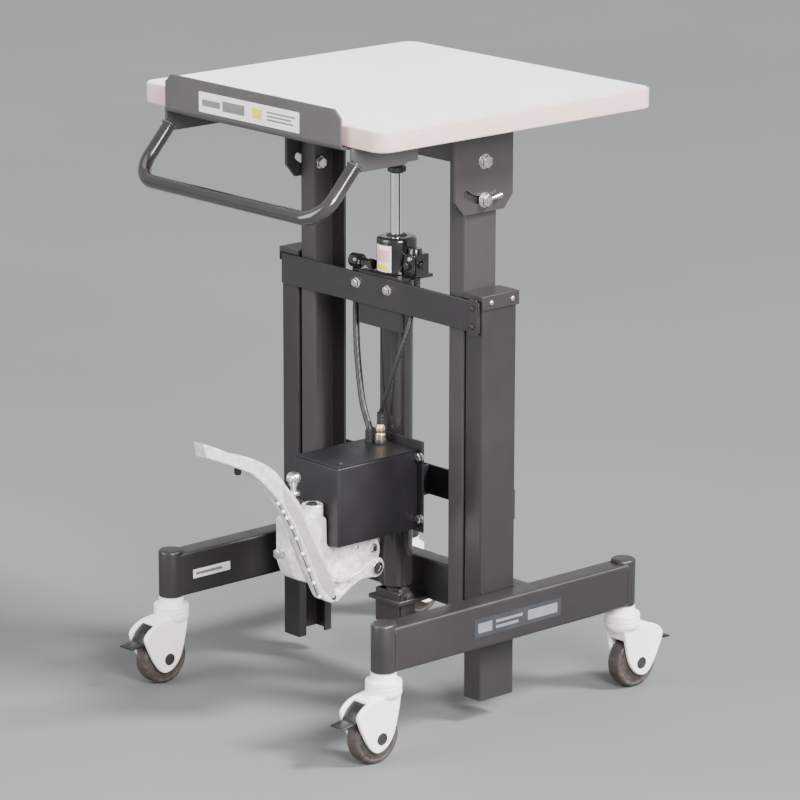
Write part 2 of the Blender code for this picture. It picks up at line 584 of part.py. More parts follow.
def leg(materials, body, side):
    """A rectangular tube along Y with an upright caster socket at each end."""
    x0, x1 = LEG_X0, LEG_X0 + LEG_W
    name = f"leg_{'right' if side > 0 else 'left'}"
    outline = rounded([(side * x0, LEG_Z), (side * x1, LEG_Z), (side * x1, LEG_Z + LEG_H),
                       (side * x0, LEG_Z + LEG_H)], 4 * MM)
    bm = bmesh.new()
    prism(bm, outline, -CASTER_Y, CASTER_Y, "Y")
    tube = finish(bm, name, materials["charcoal_paint"], body)
    sockets = bmesh.new()
    height = LEG_H + SOCKET_ABOVE_LEG
    for y in (-CASTER_Y, CASTER_Y):
        cylinder(sockets, (side * CASTER_X, y, LEG_Z + height / 2), SOCKET_R, height, "Z", 32)
    boolean(tube, tool(sockets, f"{name}_sockets", body), "UNION")


# ---------------------------------------------------------------- hydraulic cylinder

def saddle(materials, body):
    """A folded bracket behind the front bar; the cylinder passes through its top flange."""
    front, back = FRONT_BAR_Y + BAR_T + GAP, TUBE_R + 5 * MM
    low, top, t = SADDLE_TOP_Z - SADDLE_H, SADDLE_TOP_Z, SADDLE_T
    lip = front + SADDLE_LIP
    outline = [(lip, low), (front, low), (front, top), (back, top), (back, top - t),
               (front + t, top - t), (front + t, low + t), (lip, low + t)]
    bm = bmesh.new()
    prism(bm, outline, -SADDLE_W / 2, SADDLE_W / 2, "X")
    obj = finish(bm, "cylinder_saddle", materials["charcoal_paint"], body)
    cut = bmesh.new()
    cylinder(cut, (0, 0, (low + top) / 2), TUBE_R + GAP, SADDLE_H + 10 * MM, "Z", 32)
    boolean(obj, tool(cut, "saddle_bore", body), "DIFFERENCE")


def cylinder_tube(materials, body):
    bm = bmesh.new()
    top = HEAD_Z0 - GAP
    lathe(bm, [(0, TUBE_Z0), (TUBE_R, TUBE_Z0), (TUBE_R, top), (TUBE_BORE_R, top),
               (TUBE_BORE_R, TUBE_Z0 + TUBE_END_T), (0, TUBE_Z0 + TUBE_END_T)], segments=32)
    finish(bm, "cylinder_tube", materials["charcoal_paint"], body)


def cylinder_head(materials, body):
    bore = ROD_R + GAP
    top = HEAD_Z0 + HEAD_H
    bm = bmesh.new()
    lathe(bm, [(bore, HEAD_Z0), (HEAD_R, HEAD_Z0), (HEAD_R, top - 5 * MM), (HEAD_R - 3 * MM, top),
               (ROD_R + 5 * MM, top), (ROD_R + 4 * MM, top - 4 * MM), (bore, top - 4 * MM)], segments=32)
    finish(bm, "cylinder_head", materials["gloss_black_paint"], body)


def head_fittings(materials, body):
    x0 = HEAD_R + GAP
    bm = bmesh.new()
    half = VALVE_BLOCK_W / 2
    box(bm, (x0, -half, HEAD_Z0), (x0 + VALVE_BLOCK_L, half, HEAD_Z0 + VALVE_BLOCK_H))
    bevel(finish(bm, "head_valve_block", materials["gloss_black_paint"], body), 3 * MM)
    bm = bmesh.new()
    start = -(math.sqrt(HEAD_R ** 2 - (FITTING_AHEAD - FITTING_R) ** 2) + GAP)
    knob, end = start - FITTING_L + FITTING_KNOB_L, start - FITTING_L
    lathe(bm, [(0, start), (FITTING_R, start), (FITTING_R, knob), (FITTING_KNOB_R, knob),
               (FITTING_KNOB_R, end + 1.5 * MM), (FITTING_KNOB_R - 1.5 * MM, end), (0, end)],
          (0, -FITTING_AHEAD, HEAD_Z0 + FITTING_R), "X")
    finish(bm, "head_fitting", materials["gloss_black_paint"], body)


def cylinder_foot(materials, body):
    """The shelf on the base tube that the cylinder stands on, with its spigot."""
    half = FOOT_SHELF_W / 2
    bm = bmesh.new()
    box(bm, (-half, -FOOT_SHELF_AHEAD, BASE_TUBE_Z),
        (half, REAR_FACE_Y - GAP, BASE_TUBE_Z + FOOT_SHELF_T))
    shelf = finish(bm, "cylinder_foot", materials["charcoal_paint"], body)
    spigot = bmesh.new()
    low, high = BASE_TUBE_Z + FOOT_SHELF_T - MM, TUBE_Z0 - GAP
    cylinder(spigot, (0, 0, (low + high) / 2), FOOT_SPIGOT_R, high - low)
    boolean(shelf, tool(spigot, "foot_spigot", body), "UNION")


# ---------------------------------------------------------------- foot pump

def tank(materials, body):
    bm = bmesh.new()
    half = TANK_W / 2
    box(bm, (TANK_X - half, TANK_Y0, TANK_Z), (TANK_X + half, TANK_Y1, TANK_TOP_Z))
    bevel(finish(bm, "tank", materials["tank_paint"], body), TANK_EDGE_R)
    plate_y0 = TANK_Y1 + GAP
    low_x, high_x = TANK_X - half - BRACKET_SIDE, TANK_X + half + BRACKET_SIDE
    rib_x = TUBE_R + 7 * MM
    boxes_joined("pump_bracket", [
        ((low_x, plate_y0, TANK_Z - BRACKET_DOWN), (high_x, plate_y0 + BRACKET_T, TANK_TOP_Z + BRACKET_UP)),
        ((rib_x, plate_y0 + MM, REAR_BAR_Z), (rib_x + RIB_T, REAR_FACE_Y - GAP, REAR_BAR_Z + BAR_H)),
    ], materials["charcoal_paint"], body)


def pump_body(materials, body):
    """One casting: the ram's cylinder, the valve block ahead of it and the pedal's arm below."""
    front, back = PUMP_Y1 - PUMP_L, PUMP_Y1
    step = RAM_Y - PUMP_RAM_L / 2
    top_arm = TANK_Z - GAP
    pivot = (PEDAL_PIVOT_Y, PEDAL_PIVOT_Z)
    outline = [(front, PUMP_VALVE_TOP_Z), (step, PUMP_VALVE_TOP_Z), (step, PUMP_RAM_TOP_Z),
               (back, PUMP_RAM_TOP_Z), (back, top_arm),
               (PEDAL_PIVOT_Y + PEDAL_BOSS_R, top_arm),
               *arc(pivot, PEDAL_BOSS_R, 0, -90, 5),
               (front + 44 * MM, PUMP_BOTTOM_Z), (front + 10 * MM, PUMP_BOTTOM_Z + 15 * MM),
               (front, PUMP_BOTTOM_Z + 40 * MM)]
    half = PUMP_W / 2
    bm = bmesh.new()
    prism(bm, outline, PUMP_X - half, PUMP_X + half, "X")
    casting = finish(bm, "pump_body", materials["cast_aluminium"], body)
    cut = bmesh.new()
    cylinder(cut, (PUMP_X, RAM_Y, (PUMP_BORE_Z + PUMP_RAM_TOP_Z + 5 * MM) / 2), PUMP_BORE_R,
             PUMP_RAM_TOP_Z + 5 * MM - PUMP_BORE_Z)
    cylinder(cut, (PUMP_X, *pivot), PEDAL_PIN_R + PIN_CLEARANCE, PUMP_W + 4 * MM, "X")
    boolean(casting, tool(cut, "pump_bores", body), "DIFFERENCE")


def pedal_pin(materials, body):
    """The pedal's pivot bolt: fixed in the casting, with its head outside the pedal."""
    inside, outside = PUMP_X - PUMP_W / 2 - GAP, PEDAL_X1 + 0.5 * MM
    r, head = PEDAL_PIN_R, PEDAL_PIN_R + 3.5 * MM
    bm = bmesh.new()
    lathe(bm, [(0, inside - 6 * MM), (head, inside - 6 * MM), (head, inside), (r, inside), (r, outside),
               (head, outside), (head, outside + 4 * MM), (0, outside + 4 * MM)],
          (0, PEDAL_PIVOT_Y, PEDAL_PIVOT_Z), "X")
    finish(bm, "pedal_pin", materials["zinc"], body)


def pedal_outline():
    """The pedal's side view from its pivot, in mm: the pad, the curved shank, the web and the boss."""
    top_side = [(-PEDAL_REACH / MM, 231), (-277, 219), (-250, 206), (-224, 197), (-196, 182), (-177, 167),
                (-158, 143), (-137, 117), (-123, 91), (-102, 51), (-82, 13), (-72, -5), (-54, 3),
                (-36, 8), (-18, 11)]
    boss = arc((0, 0), PEDAL_BOSS_R / MM, 125, -75, 10)
    low_side = [(-10, -18.5), (-24, -22), (-48, -26), (-66, -37), (-86, -33), (-100, -21), (-120, 24),
                (-140, 69), (-156, 99), (-172, 124), (-194, 149), (-219, 172), (-237, 182), (-269, 197),
                (-301, 211)]
    return [(PEDAL_PIVOT_Y + y * MM, PEDAL_PIVOT_Z + z * MM) for y, z in top_side + boss + low_side]


def pedal(materials, body):
    bm = bmesh.new()
    prism(bm, pedal_outline(), PEDAL_X0, PEDAL_X1, "X")
    arm = finish(bm, "pedal", materials["cast_aluminium"], body)
    cut = bmesh.new()
    cylinder(cut, ((PEDAL_X0 + PEDAL_X1) / 2, PEDAL_PIVOT_Y, PEDAL_PIVOT_Z),
             PEDAL_PIN_R + PIN_CLEARANCE, PEDAL_W + 4 * MM, "X")
    boolean(arm, tool(cut, "pedal_bore", body), "DIFFERENCE")


def plunger(materials, body):
    radius = PUMP_BORE_R - GAP
    bm = bmesh.new()
    lathe(bm, [(0, PLUNGER_Z0), (radius, PLUNGER_Z0), (radius, PLUNGER_Z1), (PLUNGER_CROWN_R, PLUNGER_Z1),
               (PLUNGER_CROWN_R, PLUNGER_Z1 + 6 * MM), (0, PLUNGER_Z1 + 6 * MM)], (PUMP_X, RAM_Y, 0))
    finish(bm, "plunger", materials["zinc"], body)


def release_knob(materials, body):
    """The release valve's stem and knurled knob, standing on the valve block."""
    z = PUMP_VALVE_TOP_Z + GAP
    steps = [(0, 0), (7, 0), (7, 16), (5, 16), (5, 30), (9, 30), (9, 36), (6, 36), (6, 44), (9, 44),
             (9, 47), (10, 48), (10, 54), (7, 60), (0, 60)]
    bm = bmesh.new()
    lathe(bm, [(r * MM, z + h * MM) for r, h in steps], (PUMP_X, RAM_Y - VALVE_AHEAD, 0), segments=20)
    finish(bm, "release_knob", materials["zinc"], body)


def hoses(materials, body):
    z = TANK_TOP_Z + GAP
    bm = bmesh.new()
    r, h = BRASS_R, BRASS_H
    lathe(bm, [(0, z), (r + 1.5 * MM, z), (r + 1.5 * MM, z + 0.4 * h), (r, z + 0.42 * h), (r, z + 0.8 * h),
               (r - 1.4 * MM, z + h), (0, z + h)], (BRASS_X, BRASS_Y, 0), segments=18)
    finish(bm, "brass_fitting", materials["brass"], body)
    block_low = HEAD_Z0 - GAP
    right = [(HOSE_PORT_X, -6 * MM, block_low), (HOSE_PORT_X, -6 * MM, 590 * MM),
             (HOSE_PORT_X + 7.5 * MM, -19 * MM, 562 * MM), (HOSE_PORT_X + 8.5 * MM, -31 * MM, 530 * MM),
             (HOSE_PORT_X + MM, -42 * MM, 490 * MM), (33 * MM, -47 * MM, 440 * MM),
             (BRASS_X, BRASS_Y, z + h + 14 * MM), (BRASS_X, BRASS_Y, z + h + GAP)]
    curve_tube("hose_right", smooth_route(right, 26), 3.5 * MM, materials["hose_rubber"], body, 2)
    start = -(math.sqrt(HEAD_R ** 2 - (FITTING_AHEAD - FITTING_R) ** 2) + GAP)
    knob_x = start - FITTING_L + FITTING_KNOB_L / 2
    knob_low = HEAD_Z0 + FITTING_R - FITTING_KNOB_R - GAP
    left = [(knob_x, -FITTING_AHEAD, knob_low), (knob_x, -FITTING_AHEAD, 575 * MM),
            (knob_x + 3 * MM, -22 * MM, 530 * MM), (-45 * MM, -33 * MM, 480 * MM),
            (-20 * MM, -46 * MM, 420 * MM), (2 * MM, -52 * MM, TANK_TOP_Z + 20 * MM),
            (2 * MM, -52 * MM, TANK_TOP_Z + GAP)]
    curve_tube("hose_left", smooth_route(left, 28), 4.7 * MM, materials["hose_rubber"], body, 2)


# ---------------------------------------------------------------- casters
# A caster is drawn at the origin with its wheel trailing towards -Y, then placed four times.

def yoke_outline():
    """The cheek's side view, as (y, z): concave in front, a lobe round the axle, a hooded back."""
    axle = (-CASTER_TRAIL, WHEEL_R)
    reach = CASTER_TRAIL + YOKE_REACH
    front = [(14.5 * MM, RING_Z0 + MM), (12.5 * MM, 80 * MM), (8.5 * MM, 63 * MM)]
    lobe = arc(axle, YOKE_LOBE_R, 12, -150, 10)
    back = [(-reach + 4 * MM, 58 * MM), (-reach, 72 * MM), (-reach + 4 * MM, 80 * MM),
            (-reach + 14 * MM, 88 * MM), (-reach + 26 * MM, 93 * MM), (-RING_R + 2 * MM, RING_Z0 + MM)]
    return front + lobe + back


def yoke(materials, body):
    """The moulded fork: ringed neck, two cheeks and the axle between them."""
    groove = 1.6 * MM
    bands = []
    step = (RING_Z1 - RING_Z0) / 3
    for i in range(3):
        z = RING_Z0 + i * step
        bands += [(RING_R - groove, z), (RING_R, z + 0.25 * step), (RING_R, z + 0.85 * step)]
    bm = bmesh.new()
    lathe(bm, [(0, RING_Z0 - 4 * MM), (RING_R - groove, RING_Z0 - 4 * MM), *bands,
               (RING_R - groove, RING_Z1), (NECK_R, RING_Z1), (NECK_R, LEG_Z - GAP), (0, LEG_Z - GAP)],
          segments=32)
    fork = finish(bm, "yoke", materials["caster_nylon"], body)
    cheeks = bmesh.new()
    prism(cheeks, yoke_outline(), -YOKE_HALF_W, YOKE_HALF_W, "X")
    boolean(fork, tool(cheeks, "yoke_cheeks", body), "UNION")
    inside = YOKE_HALF_W - YOKE_WALL
    well = bmesh.new()
    cylinder(well, (0, -CASTER_TRAIL, WHEEL_R), WHEEL_R + WHEEL_CLEAR, 2 * inside, "X", 32)
    boolean(fork, tool(well, "yoke_well", body), "DIFFERENCE")
    notch = bmesh.new()
    reach = CASTER_TRAIL + YOKE_REACH
    box(notch, (-inside, -reach - 5 * MM, 30 * MM), (inside, -reach + 28 * MM, RING_Z0 + 5 * MM))
    boolean(fork, tool(notch, "yoke_notch", body), "DIFFERENCE")
    axle = bmesh.new()
    cylinder(axle, (0, -CASTER_TRAIL, WHEEL_R), AXLE_R, 2 * inside + 2 * MM, "X")
    boolean(fork, tool(axle, "yoke_axle", body), "UNION")
    return fork


def wheel(materials, body):
    half, r, e = WHEEL_W / 2, WHEEL_R, WHEEL_EDGE_R
    bore = AXLE_R + GAP
    edge = [(r - e + e * math.sin(a), half - e + e * math.cos(a)) for a in (0, math.pi / 4, math.pi / 2)]
    profile = [(bore, -half), *[(p, -h) for p, h in edge], *edge[::-1], (bore, half)]
    bm = bmesh.new()
    lathe(bm, profile, (0, -CASTER_TRAIL, WHEEL_R), "X", 36)
    return finish(bm, "wheel", materials["tyre_grey"], body)


def brake(materials, body):
    """The brake pedal: a curved strap over the wheel with a tab to press."""
    axle = (-CASTER_TRAIL, WHEEL_R)
    low_r = WHEEL_R + WHEEL_CLEAR
    high_r = low_r + BRAKE_T
    strap_in = arc(axle, low_r, 120, 145, 5)
    strap_out = arc(axle, high_r, 145, 118, 5)
    tab_end = -BRAKE_REACH
    tab = [(tab_end, strap_in[-1][1] - 1 * MM), (tab_end, strap_in[-1][1] + 3.5 * MM)]
    outline = strap_in + tab + strap_out
    bm = bmesh.new()
    prism(bm, outline, -BRAKE_W / 2, BRAKE_W / 2, "X")
    return finish(bm, "brake", materials["black_plastic"], body)


def applied_mesh(obj):
    """The object's mesh with its Boolean modifiers applied."""
    graph = bpy.context.evaluated_depsgraph_get()
    mesh = bpy.data.meshes.new_from_object(obj.evaluated_get(graph))
    mesh.set_sharp_from_angle(angle=math.radians(35))
    return mesh


def casters(materials, machine):
    bench = new_empty("caster_bench", (0, 0, 0), machine)
    patterns = [make(materials, bench) for make in (yoke, wheel, brake)]
    bpy.context.view_layer.update()
    meshes = {obj.name: applied_mesh(obj) for obj in patterns}
    for obj in patterns:
        bpy.data.objects.remove(obj, do_unlink=True)
    for end, y, turn in (("front", -CASTER_Y, 0.0), ("rear", CASTER_Y, math.pi)):
        for hand, x in (("left", -CASTER_X), ("right", CASTER_X)):
            swivel = new_empty(f"caster_axis_{end}_{hand}", (x, y, 0), machine, turn)
            for kind, mesh in meshes.items():
                obj = bpy.data.objects.new(f"caster_{kind}_{end}_{hand}", mesh)
                obj.parent = swivel
                bpy.context.collection.objects.link(obj)


def main():
    clear_scene()
    global TOOL_MATERIAL
    TOOL_MATERIAL = bpy.data.materials.new("construction")
    materials = {name: new_material(name) for name in COLOURS}
    machine = new_empty("machine", (0, CENTRE_SHIFT_Y, 0))
    lift = new_empty("lift_axis", (0, 0, INNER_Z0), machine)
    tilt = new_empty("tilt_axis", (0, 0, PIVOT_Z), machine)
    pump = new_empty("pedal_axis", (0, PEDAL_PIVOT_Y, PEDAL_PIVOT_Z), machine)
    bore = new_empty("plunger_axis", (PUMP_X, RAM_Y, PLUNGER_Z0), machine)
    valve = new_empty("release_axis", (PUMP_X, RAM_Y - VALVE_AHEAD, PUMP_VALVE_TOP_Z), machine)

    table_top(materials, tilt)
    handle_plate(materials, tilt)
    handle(materials, tilt)
    for side in (-1, 1):
        gusset(materials, tilt, side)
        lug(materials, tilt, side)
        inner_post(materials, lift, side)
        guide_shoe(materials, lift, side)
        tilt_bolt(materials, lift, side, PIVOT_Z, "pivot_bolt", 8 * MM, 7 * MM)
        tilt_bolt(materials, lift, side, PIVOT_Z - TILT_SLOT_R, "clamp_bolt", 8 * MM, 10 * MM)
        outer_post(materials, machine, side)
        post_cap(materials, machine, side)
        leg(materials, machine, side)
    lift_beam(materials, lift)
    ram_rod(materials, lift)
    flat_bar(materials, machine, "front_bar", FRONT_BAR_Y, FRONT_BAR_Z)
    flat_bar(materials, machine, "rear_bar", REAR_FACE_Y, REAR_BAR_Z)
    base_tube(materials, machine)
    saddle(materials, machine)
    cylinder_tube(materials, machine)
    cylinder_head(materials, machine)
    head_fittings(materials, machine)
    cylinder_foot(materials, machine)
    tank(materials, machine)
    pump_body(materials, machine)
    pedal_pin(materials, machine)
    hoses(materials, machine)
    pedal(materials, pump)
    plunger(materials, bore)
    release_knob(materials, valve)
    casters(materials, machine)


main()
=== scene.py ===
"""A mobile lift table, dressed around its packed frame: laminate top, enamelled frame, hydraulic
ram, cast foot pump and moulded casters.  Lengths are in metres; MM and mm() turn millimetres."""

import math

import bmesh
import bpy
import numpy as np
from mathutils import Matrix, Vector


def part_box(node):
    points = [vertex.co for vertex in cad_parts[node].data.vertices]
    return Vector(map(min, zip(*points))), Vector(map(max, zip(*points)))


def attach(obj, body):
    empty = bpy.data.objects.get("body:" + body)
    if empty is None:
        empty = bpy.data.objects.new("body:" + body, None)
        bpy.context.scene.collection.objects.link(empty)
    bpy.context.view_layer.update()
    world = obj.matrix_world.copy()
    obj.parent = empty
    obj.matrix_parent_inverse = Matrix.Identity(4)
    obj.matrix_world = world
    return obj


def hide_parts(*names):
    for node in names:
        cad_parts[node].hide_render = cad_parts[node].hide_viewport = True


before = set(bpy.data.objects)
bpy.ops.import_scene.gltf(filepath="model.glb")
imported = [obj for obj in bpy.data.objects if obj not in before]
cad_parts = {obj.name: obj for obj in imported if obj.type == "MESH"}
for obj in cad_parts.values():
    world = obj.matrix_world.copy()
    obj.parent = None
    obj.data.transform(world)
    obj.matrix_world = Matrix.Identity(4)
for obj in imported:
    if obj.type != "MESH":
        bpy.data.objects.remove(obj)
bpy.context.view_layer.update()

bl_info = {
    "name": "Mobile Lift Table",
    "version": (1, 0, 0),
    "blender": (4, 5, 0),
    "location": "3D View > Sidebar > Lift Table",
    "description": "Builds the visible pieces of a foot-pumped lift table around its frame",
    "category": "Object",
}

MM = 0.001
AXIS_Y = float((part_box("ram_rod")[0][1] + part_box("ram_rod")[1][1]) / 2)
TAU = 2 * math.pi
POLE = 0.1 * MM                  # radius at which a lathe profile closes on its axis
CORNER_TURN = np.linspace(0, math.pi / 2, 13)
SHARP_DEG = 38                   # edges steeper than this stay crisp
PIVOT_Z, CLAMP_Z = 782 * MM, 729 * MM
LUG_FACE_X, POST_INNER_X = 176.9 * MM, 161.7 * MM
BAR_BOLT_Z, BAR_BOLT_X = 582 * MM, (-43 * MM, 21.5 * MM)
LEG_INNER_X = 209.2 * MM
HEAD_R = 28 * MM
PEDAL_PIVOT = (0, AXIS_Y - 106 * MM, 211 * MM)
CASTER_OFFSET = 25 * MM          # from a housing's far edge to its swivel axis
CASTER_AXLE = (0, -20 * MM, 37.5 * MM)
WHEEL_R, WHEEL_HALF, WHEEL_EASE = 37.5, 12, 5
INK_LIFT, INK_THICK = 0.22 * MM, 0.12 * MM


def box(node):
    """Lowest and highest corner of a frame node as two arrays."""
    low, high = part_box(node)
    return np.array(low, float), np.array(high, float)


def mm(points):
    """Points given in millimetres, in metres."""
    return np.array(points, float) * MM


# ---------------------------------------------------------------- surfaces

def outward(verts, faces):
    """Turns every face over when the enclosed volume, the sum of each face fan's signed
    tetrahedra to the origin, comes out negative."""
    middle = verts.mean(axis=0)
    volume = 0.0
    for face in faces:
        ring = verts[face] - middle
        volume += np.cross(ring[1:-1] - ring[0], ring[2:] - ring[0]).dot(ring[0]).sum()
    return verts, ([face[::-1] for face in faces] if volume < 0 else faces)


def shell(grid, loop=False):
    """A skin over rings of points: quads join ring i to ring i + 1 and point j to point j + 1,
    round and round.  The first and last rings are closed by flat caps, or joined when loop."""
    rings, around, _ = grid.shape
    i = np.arange(rings if loop else rings - 1)[:, None]
    j = np.arange(around)[None, :]
    after, across = (i + 1) % rings, (j + 1) % around
    quads = np.stack([i * around + j, i * around + across, after * around + across,
                      after * around + j], -1).reshape(-1, 4).tolist()
    if not loop:
        quads.append(list(range(around)))
        quads.append(list(range((rings - 1) * around, rings * around))[::-1])
    return outward(grid.reshape(-1, 3), quads)


def filleted(points, radius, closed=True, steps=5):
    """A polyline whose corners become quadratic curves: (1-t)^2 A + 2t(1-t) B + t^2 C, where B is
    the corner and A and C lie a reach back along its sides.  radius is one value or one each."""
    points = np.asarray(points, float)
    count = len(points)
    radii = np.broadcast_to(np.asarray(radius, float), (count,))
    t = np.linspace(0, 1, steps + 1)[:, None]
    runs = []
    for i, here in enumerate(points):
        if not closed and i in (0, count - 1) or radii[i] <= 0:
            runs.append(here[None])
            continue
        back, on = points[i - 1] - here, points[(i + 1) % count] - here
        reach_b = min(radii[i], 0.48 * np.linalg.norm(back)) / np.linalg.norm(back)
        reach_o = min(radii[i], 0.48 * np.linalg.norm(on)) / np.linalg.norm(on)
        runs.append((1 - t) ** 2 * (here + back * reach_b) + 2 * t * (1 - t) * here
                    + t ** 2 * (here + on * reach_o))
    return np.concatenate(runs)


def inset(outline, distance):
    """The outline moved inwards: each point goes along the mean of its two sides' normals."""
    ahead = np.roll(outline, -1, 0) - outline
    behind = outline - np.roll(outline, 1, 0)
    ahead /= np.linalg.norm(ahead, axis=1, keepdims=True) + 1e-12
    behind /= np.linalg.norm(behind, axis=1, keepdims=True) + 1e-12
    area = (outline[:, 0] * np.roll(outline[:, 1], -1) - outline[:, 1] * np.roll(outline[:, 0],
                                                                                 -1)).sum()
    tangent = ahead + behind
    tangent /= np.linalg.norm(tangent, axis=1, keepdims=True) + 1e-12
    normal = np.stack([-tangent[:, 1], tangent[:, 0]], -1) * np.sign(area)
    return outline + normal * distance


def plate(outline, low, high, axis="X", edge=0.8 * MM, steps=3):
    """A sheet or block with eased rims: ring v of the outline is inset by edge (1 - sin a) and
    stands edge (1 - cos a) in from its face.  Outline points are (y, z), (x, z) or (x, y)."""
    outline = np.asarray(outline, float)
    a = np.linspace(0, math.pi / 2, steps + 1)
    heights = np.concatenate([low + edge * (1 - np.cos(a)), high - edge * (1 - np.cos(a[::-1]))])
    insets = np.concatenate([edge * (1 - np.sin(a)), edge * (1 - np.sin(a[::-1]))])
    rings = np.stack([inset(outline, d) for d in insets])
    h = np.broadcast_to(heights[:, None, None], rings[..., :1].shape)
    p, q = rings[..., :1], rings[..., 1:]
    order = {"X": (h, p, q), "Y": (p, h, q), "Z": (p, q, h)}[axis]
    return shell(np.concatenate(order, -1))


def turned(profile, centre, axis="Z", sides=64, lobes=None, loop=False):
    """A lathe shape: (r cos u, r sin u, h) for each (r, h) of the profile, laid along an axis.
    lobes(u) scales the radius round the turn, for hexes and knurls.  A loop is a closed
    profile with a bore through it."""
    profile = np.asarray(profile, float)
    u = np.arange(sides) * TAU / sides
    r = profile[:, :1] * (lobes(u)[None] if lobes is not None else 1.0)
    a, b = r * np.cos(u), r * np.sin(u)
    h = np.broadcast_to(profile[:, 1:], a.shape)
    order = {"Z": (a, b, h), "X": (h, a, b), "Y": (a, h, b)}[axis]
    return shell(np.stack(order, -1) + np.asarray(centre, float), loop)


def hexagon(u):
    """Radius of a hexagon of unit half width across its corners, at angle u."""
    return math.cos(math.pi / 6) / np.cos((u + math.pi / 6) % (math.pi / 3) - math.pi / 6)


def knurl(count, depth):
    """A ripple of count ridges round the turn."""
    return lambda u: 1 - depth * (0.5 + 0.5 * np.cos(count * u))


def tube(path, radius, across, sides=24):
    """A round tube: path(s) + r(s) (cos u N + sin u B), with N = across x T and B = T x N."""
    path = np.asarray(path, float)
    tangent = np.gradient(path, axis=0)
    tangent /= np.linalg.norm(tangent, axis=1, keepdims=True)
    normal = np.cross(np.asarray(across, float), tangent)
    normal /= np.linalg.norm(normal, axis=1, keepdims=True)
    binormal = np.cross(tangent, normal)
    u = np.arange(sides) * TAU / sides
    r = np.broadcast_to(np.asarray(radius, float), (len(path),))[:, None, None]
    grid = path[:, None] + r * (np.cos(u)[None, :, None] * normal[:, None]
                                + np.sin(u)[None, :, None] * binormal[:, None])
    return shell(grid)


def spline(points, count):
    """Catmull-Rom through the route: each span is the usual cubic of its four nearest points."""
    p = np.asarray(points, float)
    p = np.concatenate([2 * p[:1] - p[1:2], p, 2 * p[-1:] - p[-2:-1]])
    u = np.linspace(0, len(p) - 3 - 1e-9, count)
    k = u.astype(int)
    t = (u - k)[:, None]
    a, b, c, d = p[k], p[k + 1], p[k + 2], p[k + 3]
    return 0.5 * (2 * b + (c - a) * t + (2 * a - 5 * b + 4 * c - d) * t ** 2
                  + (3 * b - a - 3 * c + d) * t ** 3)


def moved(part, matrix):
    """The part with its points sent through a 4 x 4 matrix."""
    verts, faces = part
    m = np.array(matrix)
    return outward(verts @ m[:3, :3].T + m[:3, 3], faces)


def piece(name, parts, finish, body, stands_for=()):
    """One object from one or more skins, riding on a body of the frame."""
    verts, faces, start = [], [], 0
    for part_verts, part_faces in parts:
        verts.append(part_verts)
        faces += [[start + i for i in face] for face in part_faces]
        start += len(part_verts)
    mesh = bpy.data.meshes.new(name)
    mesh.from_pydata(np.concatenate(verts).tolist(), [], faces)
    mesh.update()
    mesh.shade_smooth()
    mesh.set_sharp_from_angle(angle=math.radians(SHARP_DEG))
    mesh.materials.append(FINISHES[finish])
    obj = bpy.data.objects.new(name, mesh)
    bpy.context.scene.collection.objects.link(obj)
    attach(obj, body)
    if stands_for:
        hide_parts(*stands_for)
    return obj


def eased(node, width, finish, body, segments=2):
    """A copy of a frame node's mesh with its doubles merged and every real edge rounded over."""
    bm = bmesh.new()
    bm.from_mesh(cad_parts[node].data)
    bmesh.ops.remove_doubles(bm, verts=bm.verts[:], dist=0.01 * MM)
    bmesh.ops.dissolve_limit(bm, angle_limit=math.radians(0.6), verts=bm.verts[:],
                             edges=bm.edges[:])
    mesh = bpy.data.meshes.new(f"{node}_eased")
    bm.to_mesh(mesh)
    bm.free()
    mesh.shade_smooth()
    mesh.set_sharp_from_angle(angle=math.radians(SHARP_DEG))
    mesh.materials.clear()
    mesh.materials.append(FINISHES[finish])
    obj = bpy.data.objects.new(f"{node}_eased", mesh)
    bpy.context.scene.collection.objects.link(obj)
    bevel = obj.modifiers.new("Ease", "BEVEL")
    bevel.width = width
    bevel.segments = segments
    bevel.limit_method = "ANGLE"
    bevel.angle_limit = math.radians(30)
    bevel.harden_normals = False
    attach(obj, body)
    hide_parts(node)
    return obj


# ---------------------------------------------------------------- finishes

def linear(hex_colour):
    """An sRGB hex colour as linear RGBA."""
    parts = np.array([int(hex_colour[i:i + 2], 16) / 255 for i in (1, 3, 5)])
    parts = np.where(parts <= 0.04045, parts / 12.92, ((parts + 0.055) / 1.055) ** 2.4)
    return (*parts.tolist(), 1.0)


def put(tree, kind, inputs=None, **settings):
    """Adds a node with its settings; an input given as a socket is linked, any other is a value."""
    made = tree.nodes.new(kind)
    for name, value in settings.items():
        setattr(made, name, value)
    for socket, value in (inputs or {}).items():
        if isinstance(value, bpy.types.NodeSocket):
            tree.links.new(value, made.inputs[socket])
        else:
            made.inputs[socket].default_value = value
    return made


def start_material(name, **sockets):
    """A material with its shader's own sockets set, and its Object coordinates."""
    material = bpy.data.materials.new(name)
    material.use_nodes = True
    tree = material.node_tree
    shader = tree.nodes["Principled BSDF"]
    for socket, value in sockets.items():
        shader.inputs[socket.replace("_", " ")].default_value = value
    where = put(tree, "ShaderNodeTexCoord").outputs["Object"]
    return material, tree, shader, where


def noise(tree, where, size_mm, detail=3.0, stretch=None):
    """Noise whose lumps are about size_mm across; stretch squeezes it per axis."""
    vector = where
    if stretch:
        vector = put(tree, "ShaderNodeMapping", {"Vector": where,
                                                 "Scale": stretch}).outputs["Vector"]
    return put(tree, "ShaderNodeTexNoise", {"Vector": vector, "Scale": 1000.0 / size_mm,
                                            "Detail": detail}).outputs["Fac"]


def ramp(tree, value, low, high, first, last):
    """Value from low..high sent to first..last."""
    return put(tree, "ShaderNodeMapRange", {"Value": value, "From Min": low, "From Max": high,
                                            "To Min": first, "To Max": last}).outputs["Result"]


